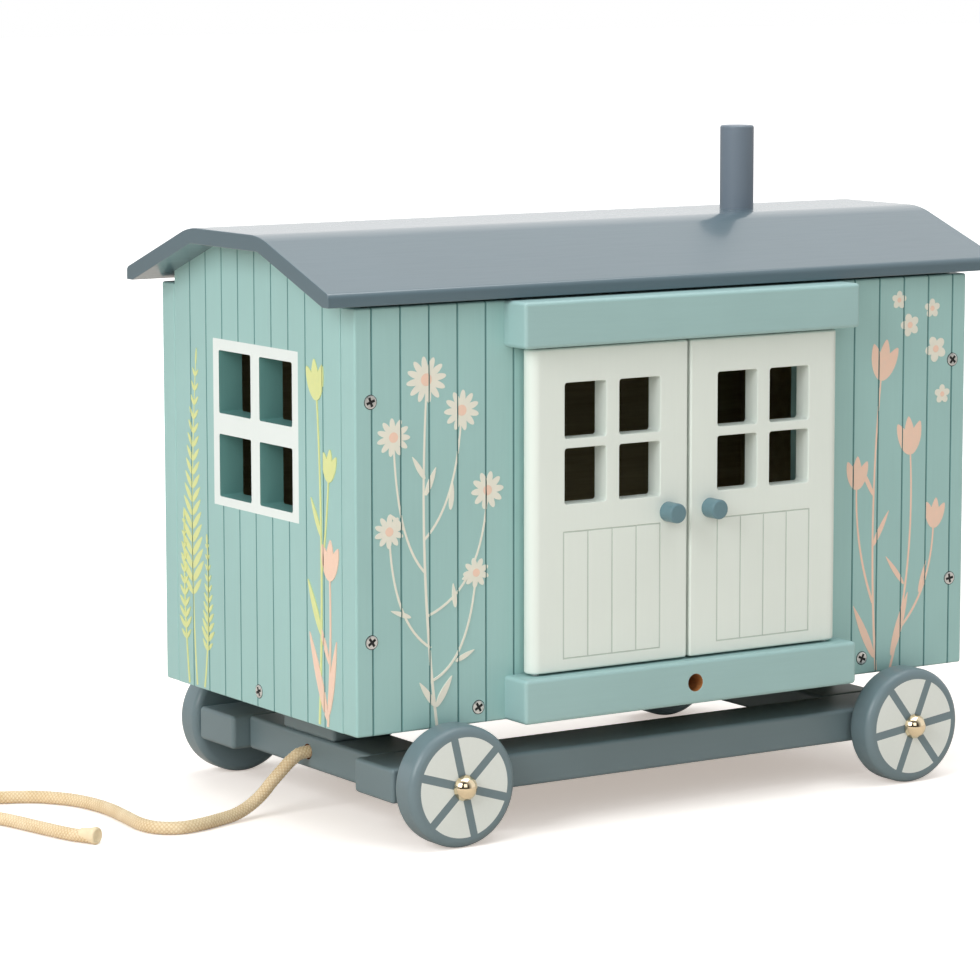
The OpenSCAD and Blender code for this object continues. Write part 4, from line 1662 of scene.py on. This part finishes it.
class Spray:
    """Flat motifs on one wall, as thin coats of ink that stop at the board lines."""

    FILM = 0.06
    GAP = 0.62
    SUNK = 0.3
    STEP = 0.003
    OVER = 0.04

    def __init__(self, name: str, lie: Matrix, lines: Sequence[float]) -> None:
        """Starts an empty spray.

        Args:
            name: Its name.
            lie: Turns the drawing's plane onto the wall.
            lines: Where the board lines run, which the ink leaves open.
        """
        self.name = name
        self.lie = lie
        self.lines = lines
        self.films: dict[Coat, BMesh] = {}
        self.laid = 0

    def rise(self) -> float:
        """Gives the level of the next motif, a hair above the last one."""
        self.laid += 1
        return self.laid * self.STEP

    def film(self, coat: Coat) -> BMesh:
        """Gives the drawing of one ink."""
        if coat not in self.films:
            self.films[coat] = bmesh.new()
        return self.films[coat]

    def petal(self, coat: Coat, root: Pair, angle: float, length: float, width: float, point: float) -> None:
        """Paints one petal or leaf.

        Args:
            coat: The ink.
            root: Where it starts.
            angle: Its direction, in degrees from the level.
            length: Its length.
            width: Its width.
            point: How pointed its tip is, from zero to one.
        """
        bm = self.film(coat)
        made = bmesh.ops.create_circle(bm, cap_ends=True, segments=22, radius=1.0)["verts"]
        for vert in made:
            t = (vert.co.x + 1) / 2
            slim = (1 - point * t * t) * (1 - 0.35 * point * (1 - t))
            vert.co = Vector((t * length, vert.co.y * width / 2 * slim, 0))
        turn = Matrix.Translation((*root, self.rise())) @ Matrix.Rotation(math.radians(angle), 4, "Z")
        bmesh.ops.transform(bm, matrix=turn, verts=made)

    def dot(self, coat: Coat, at: Pair, radius: float) -> None:
        """Paints one round spot."""
        bm = self.film(coat)
        made = bmesh.ops.create_circle(bm, cap_ends=True, segments=20, radius=radius)["verts"]
        bmesh.ops.translate(bm, vec=(*at, self.rise() + self.OVER), verts=made)

    def stem(self, coat: Coat, start: Pair, bend: Pair, end: Pair, wide: float, slim: float) -> None:
        """Paints a curved stem that thins towards its end.

        Args:
            coat: The ink.
            start: Its foot.
            bend: The point that it leans towards.
            end: Its head.
            wide: Width at the foot.
            slim: Width at the head.
        """
        bm = self.film(coat)
        made = bmesh.ops.create_grid(bm, x_segments=16, y_segments=1, size=0.5)["verts"]
        a, b, c = Vector(start), Vector(bend), Vector(end)
        level = self.rise()
        for vert in made:
            t, s = vert.co.x + 0.5, vert.co.y * 2
            spot = a * (1 - t) ** 2 + b * 2 * t * (1 - t) + c * t * t
            run = ((b - a) * (1 - t) + (c - b) * t).normalized()
            off = Vector((-run.y, run.x)) * s * (wide * (1 - t) + slim * t) / 2
            vert.co = Vector((*(spot + off), level))

    def daisy(self, at: Pair, radius: float, petals: int, ray: Coat, heart: Coat, turn: float) -> None:
        """Paints a daisy head.

        Args:
            at: Its middle.
            radius: Its radius.
            petals: How many petals it has.
            ray: Ink of the petals.
            heart: Ink of the middle.
            turn: Where the first petal points, in degrees.
        """
        for k in range(petals):
            a = turn + 360 * k / petals
            way = math.radians(a)
            root = (at[0] + 0.18 * radius * math.cos(way), at[1] + 0.18 * radius * math.sin(way))
            self.petal(ray, root, a, radius * 0.82, radius * 3.6 / petals, 0.05)
        self.dot(heart, at, radius * 0.27)

    def tulip(self, at: Pair, size: float, lean: float, cup: Coat) -> None:
        """Paints a tulip cup of three petals.

        Args:
            at: Its foot.
            size: Its height.
            lean: Direction of its middle petal, in degrees.
            cup: The ink.
        """
        for off, share in ((-24, 0.92), (24, 0.92), (0, 1.0)):
            self.petal(cup, at, lean + off, size * share, size * 0.46, 0.55)

    def fern(self, ink: Coat, start: Pair, bend: Pair, end: Pair, pairs: int, leaf: float) -> None:
        """Paints a fern frond: leaflets in pairs that shorten towards the tip.

        Args:
            ink: The ink.
            start: Foot of its stem.
            bend: The point that the stem leans towards.
            end: Its tip.
            pairs: How many pairs of leaflets it has.
            leaf: Length of the longest leaflet.
        """
        self.stem(ink, start, bend, end, 1.1, 0.5)
        a, b, c = Vector(start), Vector(bend), Vector(end)
        for k in range(pairs):
            t = 0.3 + 0.66 * k / (pairs - 1)
            spot = a * (1 - t) ** 2 + b * 2 * t * (1 - t) + c * t * t
            run = (b - a) * (1 - t) + (c - b) * t
            head = math.degrees(math.atan2(run.y, run.x))
            long = leaf * (1 - 0.72 * k / (pairs - 1)) * (0.72 if k == 0 else 1.0)
            for way in (-1, 1):
                self.petal(ink, (spot.x, spot.y), head + way * (50 - 12 * t), long, long * 0.28 + 0.6, 0.65)
        self.petal(ink, (c.x, c.y - 1), math.degrees(math.atan2((c - b).y, (c - b).x)), leaf * 0.5, 1.4, 0.6)

    def publish(self) -> None:
        """Gives each film its thickness and lays it on the wall."""
        for coat, bm in self.films.items():
            for line in self.lines:
                slice_at(bm, Axis.X.value, line - self.GAP / 2, line + self.GAP / 2)
                open_faces = [f for f in bm.faces if abs(f.calc_center_median().x - line) < self.GAP / 2]
                bmesh.ops.delete(bm, geom=open_faces, context="FACES")
            made = bmesh.ops.extrude_face_region(bm, geom=bm.faces[:], use_keep_orig=True)
            top = new_verts(made)
            bmesh.ops.translate(bm, vec=(0, 0, self.FILM + self.SUNK), verts=top)
            bmesh.ops.translate(bm, vec=(0, 0, -self.SUNK), verts=bm.verts)
            move(bm, self.lie)
            face_out(bm)
            publish(bm, f"{self.name}_{coat.value}", "hut", [coat], crease=30)


@dataclass
class FlowerPrint:
    """Simple garden flowers in soft inks on the boards beside the window and the doors."""

    walls: HutWalls

    def spray(self, name: str, wall: str) -> Spray:
        """Starts a spray on a wall."""
        lines = self.walls.board_lines if wall == "front" else self.walls.gable_lines
        return Spray(name, self.walls.faces_out()[wall], lines)

    @staticmethod
    def leaves(spray: Spray, ink: Coat, slim: float, point: float,
               leaves: Iterable[tuple[Pair, float, float]]) -> None:
        """Paints single leaves.

        Args:
            spray: The spray.
            ink: The ink.
            slim: Width of a leaf as a share of its length.
            point: How pointed the leaves are.
            leaves: Root, direction and length of each.
        """
        for root, angle, long in leaves:
            spray.petal(ink, root, angle, long, long * slim, point)

    def gable_ferns(self) -> None:
        """Paints ferns left of the window and tulips right of it."""
        spray = self.spray("gable_print", "left")
        spray.fern(Coat.LEAF, (-47, 43), (-53, 100), (-45.5, 168), 17, 13.0)
        spray.fern(Coat.LEAF, (-41, 43), (-36, 66), (-38.0, 100), 11, 7.5)
        spray.fern(Coat.LEAF, (-53, 43), (-57, 70), (-56, 108), 11, 7.0)
        spray.stem(Coat.LEAF, (46, 43), (50.5, 104), (45.5, 163), 1.2, 0.8)
        spray.tulip((45.5, 162), 15, 97, Coat.LEAF)
        spray.stem(Coat.LEAF, (48, 98), (52, 116), (53.5, 134), 0.9, 0.7)
        spray.tulip((53.5, 133), 12, 84, Coat.LEAF)
        spray.stem(Coat.PEACH, (52, 43), (55, 70), (54, 98), 1.2, 0.8)
        spray.tulip((54, 97), 15, 88, Coat.PEACH)
        self.leaves(spray, Coat.PEACH, 0.17, 0.75, (
            ((52, 45), 112, 34), ((52.5, 47), 78, 29), ((53.6, 66), 116, 17)))
        self.leaves(spray, Coat.LEAF, 0.2, 0.75, (((48, 76), 116, 22), ((48.4, 112), 118, 16)))
        spray.publish()

    def front_daisies(self) -> None:
        """Paints daisies left of the doors."""
        spray = self.spray("front_left_print", "front")
        spray.stem(Coat.PALE, (-106, 43), (-114, 104), (-110, 166), 1.2, 0.8)
        heads = (
            ((-110, 170), 8.5, 12, (-110, 150), (-110, 166)), ((-95, 158), 7.5, 11, (-111, 112), (-97, 124)),
            ((-124, 150), 7.0, 11, (-111, 100), (-123, 112)), ((-84, 128), 7.0, 10, (-109.5, 84), (-86, 92)),
            ((-126, 116), 6.2, 10, (-108.5, 72), (-125, 82)), ((-89, 98), 5.6, 9, (-107.6, 60), (-92, 66)))
        for i, (at, size, petals, foot, bend) in enumerate(heads):
            if i:
                spray.stem(Coat.PALE, foot, bend, at, 0.95, 0.7)
            spray.daisy(at, size, petals, Coat.PALE, Coat.PEACH, 8 + 11 * i)
        self.leaves(spray, Coat.PALE, 0.28, 0.7, (
            ((-110.6, 128), 66, 11), ((-110.8, 134), 122, 10), ((-100, 122), 84, 10), ((-119.5, 116), 134, 9),
            ((-95, 96), 20, 10), ((-98, 86), 96, 9), ((-117, 84), 160, 9), ((-98, 66), 24, 9),
            ((-106.4, 50), 58, 13), ((-106.4, 50), 126, 12)))
        spray.publish()

    def front_tulips(self) -> None:
        """Paints tulips and small white blossoms right of the doors."""
        spray = self.spray("front_right_print", "front")
        tulips = (((97, 43), (92, 100), (98, 158), 16, 80), ((104, 43), (116, 82), (113, 128), 15, 94),
                  ((95, 70), (86, 92), (86.5, 116), 13, 88), ((108, 58), (124, 72), (125, 98), 12, 84))
        for foot, bend, head, size, lean in tulips:
            spray.stem(Coat.PEACH, foot, bend, head, 1.1, 0.75)
            spray.tulip((head[0], head[1] - 0.8), size, lean, Coat.PEACH)
        self.leaves(spray, Coat.PEACH, 0.19, 0.75, (
            ((96, 48), 116, 24), ((104.5, 48), 72, 26), ((94.6, 92), 60, 16), ((95, 112), 118, 14),
            ((110.5, 76), 128, 15), ((118, 72), 74, 13)))
        blossoms = (((112, 178), 4.6), ((125, 168), 5.2), ((106.5, 188), 3.6), ((123, 184), 3.8),
                    ((128.5, 150), 3.8))
        for at, size in blossoms:
            spray.daisy(at, size, 5, Coat.PALE, Coat.PEACH, 18 + 19 * size)
        spray.publish()

    def build(self) -> None:
        """Paints all three places."""
        self.gable_ferns()
        self.front_daisies()
        self.front_tulips()


def main() -> None:
    """Builds the studio and every sub-assembly of the toy in order."""
    logging.basicConfig(level=logging.INFO, format="%(name)s %(message)s")
    Studio().build()
    PullCord().build()
    walls = HutWalls()
    walls.build()
    RoofCap().build()
    DoorCase().build()
    for side in (-1, 1):
        DoorLeaf(side).build()
    Chassis().build()
    for name, x, y, spoke in (("front_left", -1, -1, 43.0), ("front_right", 1, -1, 7.5),
                              ("back_left", -1, 1, 20.0), ("back_right", 1, 1, 52.0)):
        RoadWheel(name, x, y, spoke).build()
    Screws(walls).build()
    FlowerPrint(walls).build()


if __name__ == "__main__":
    main()
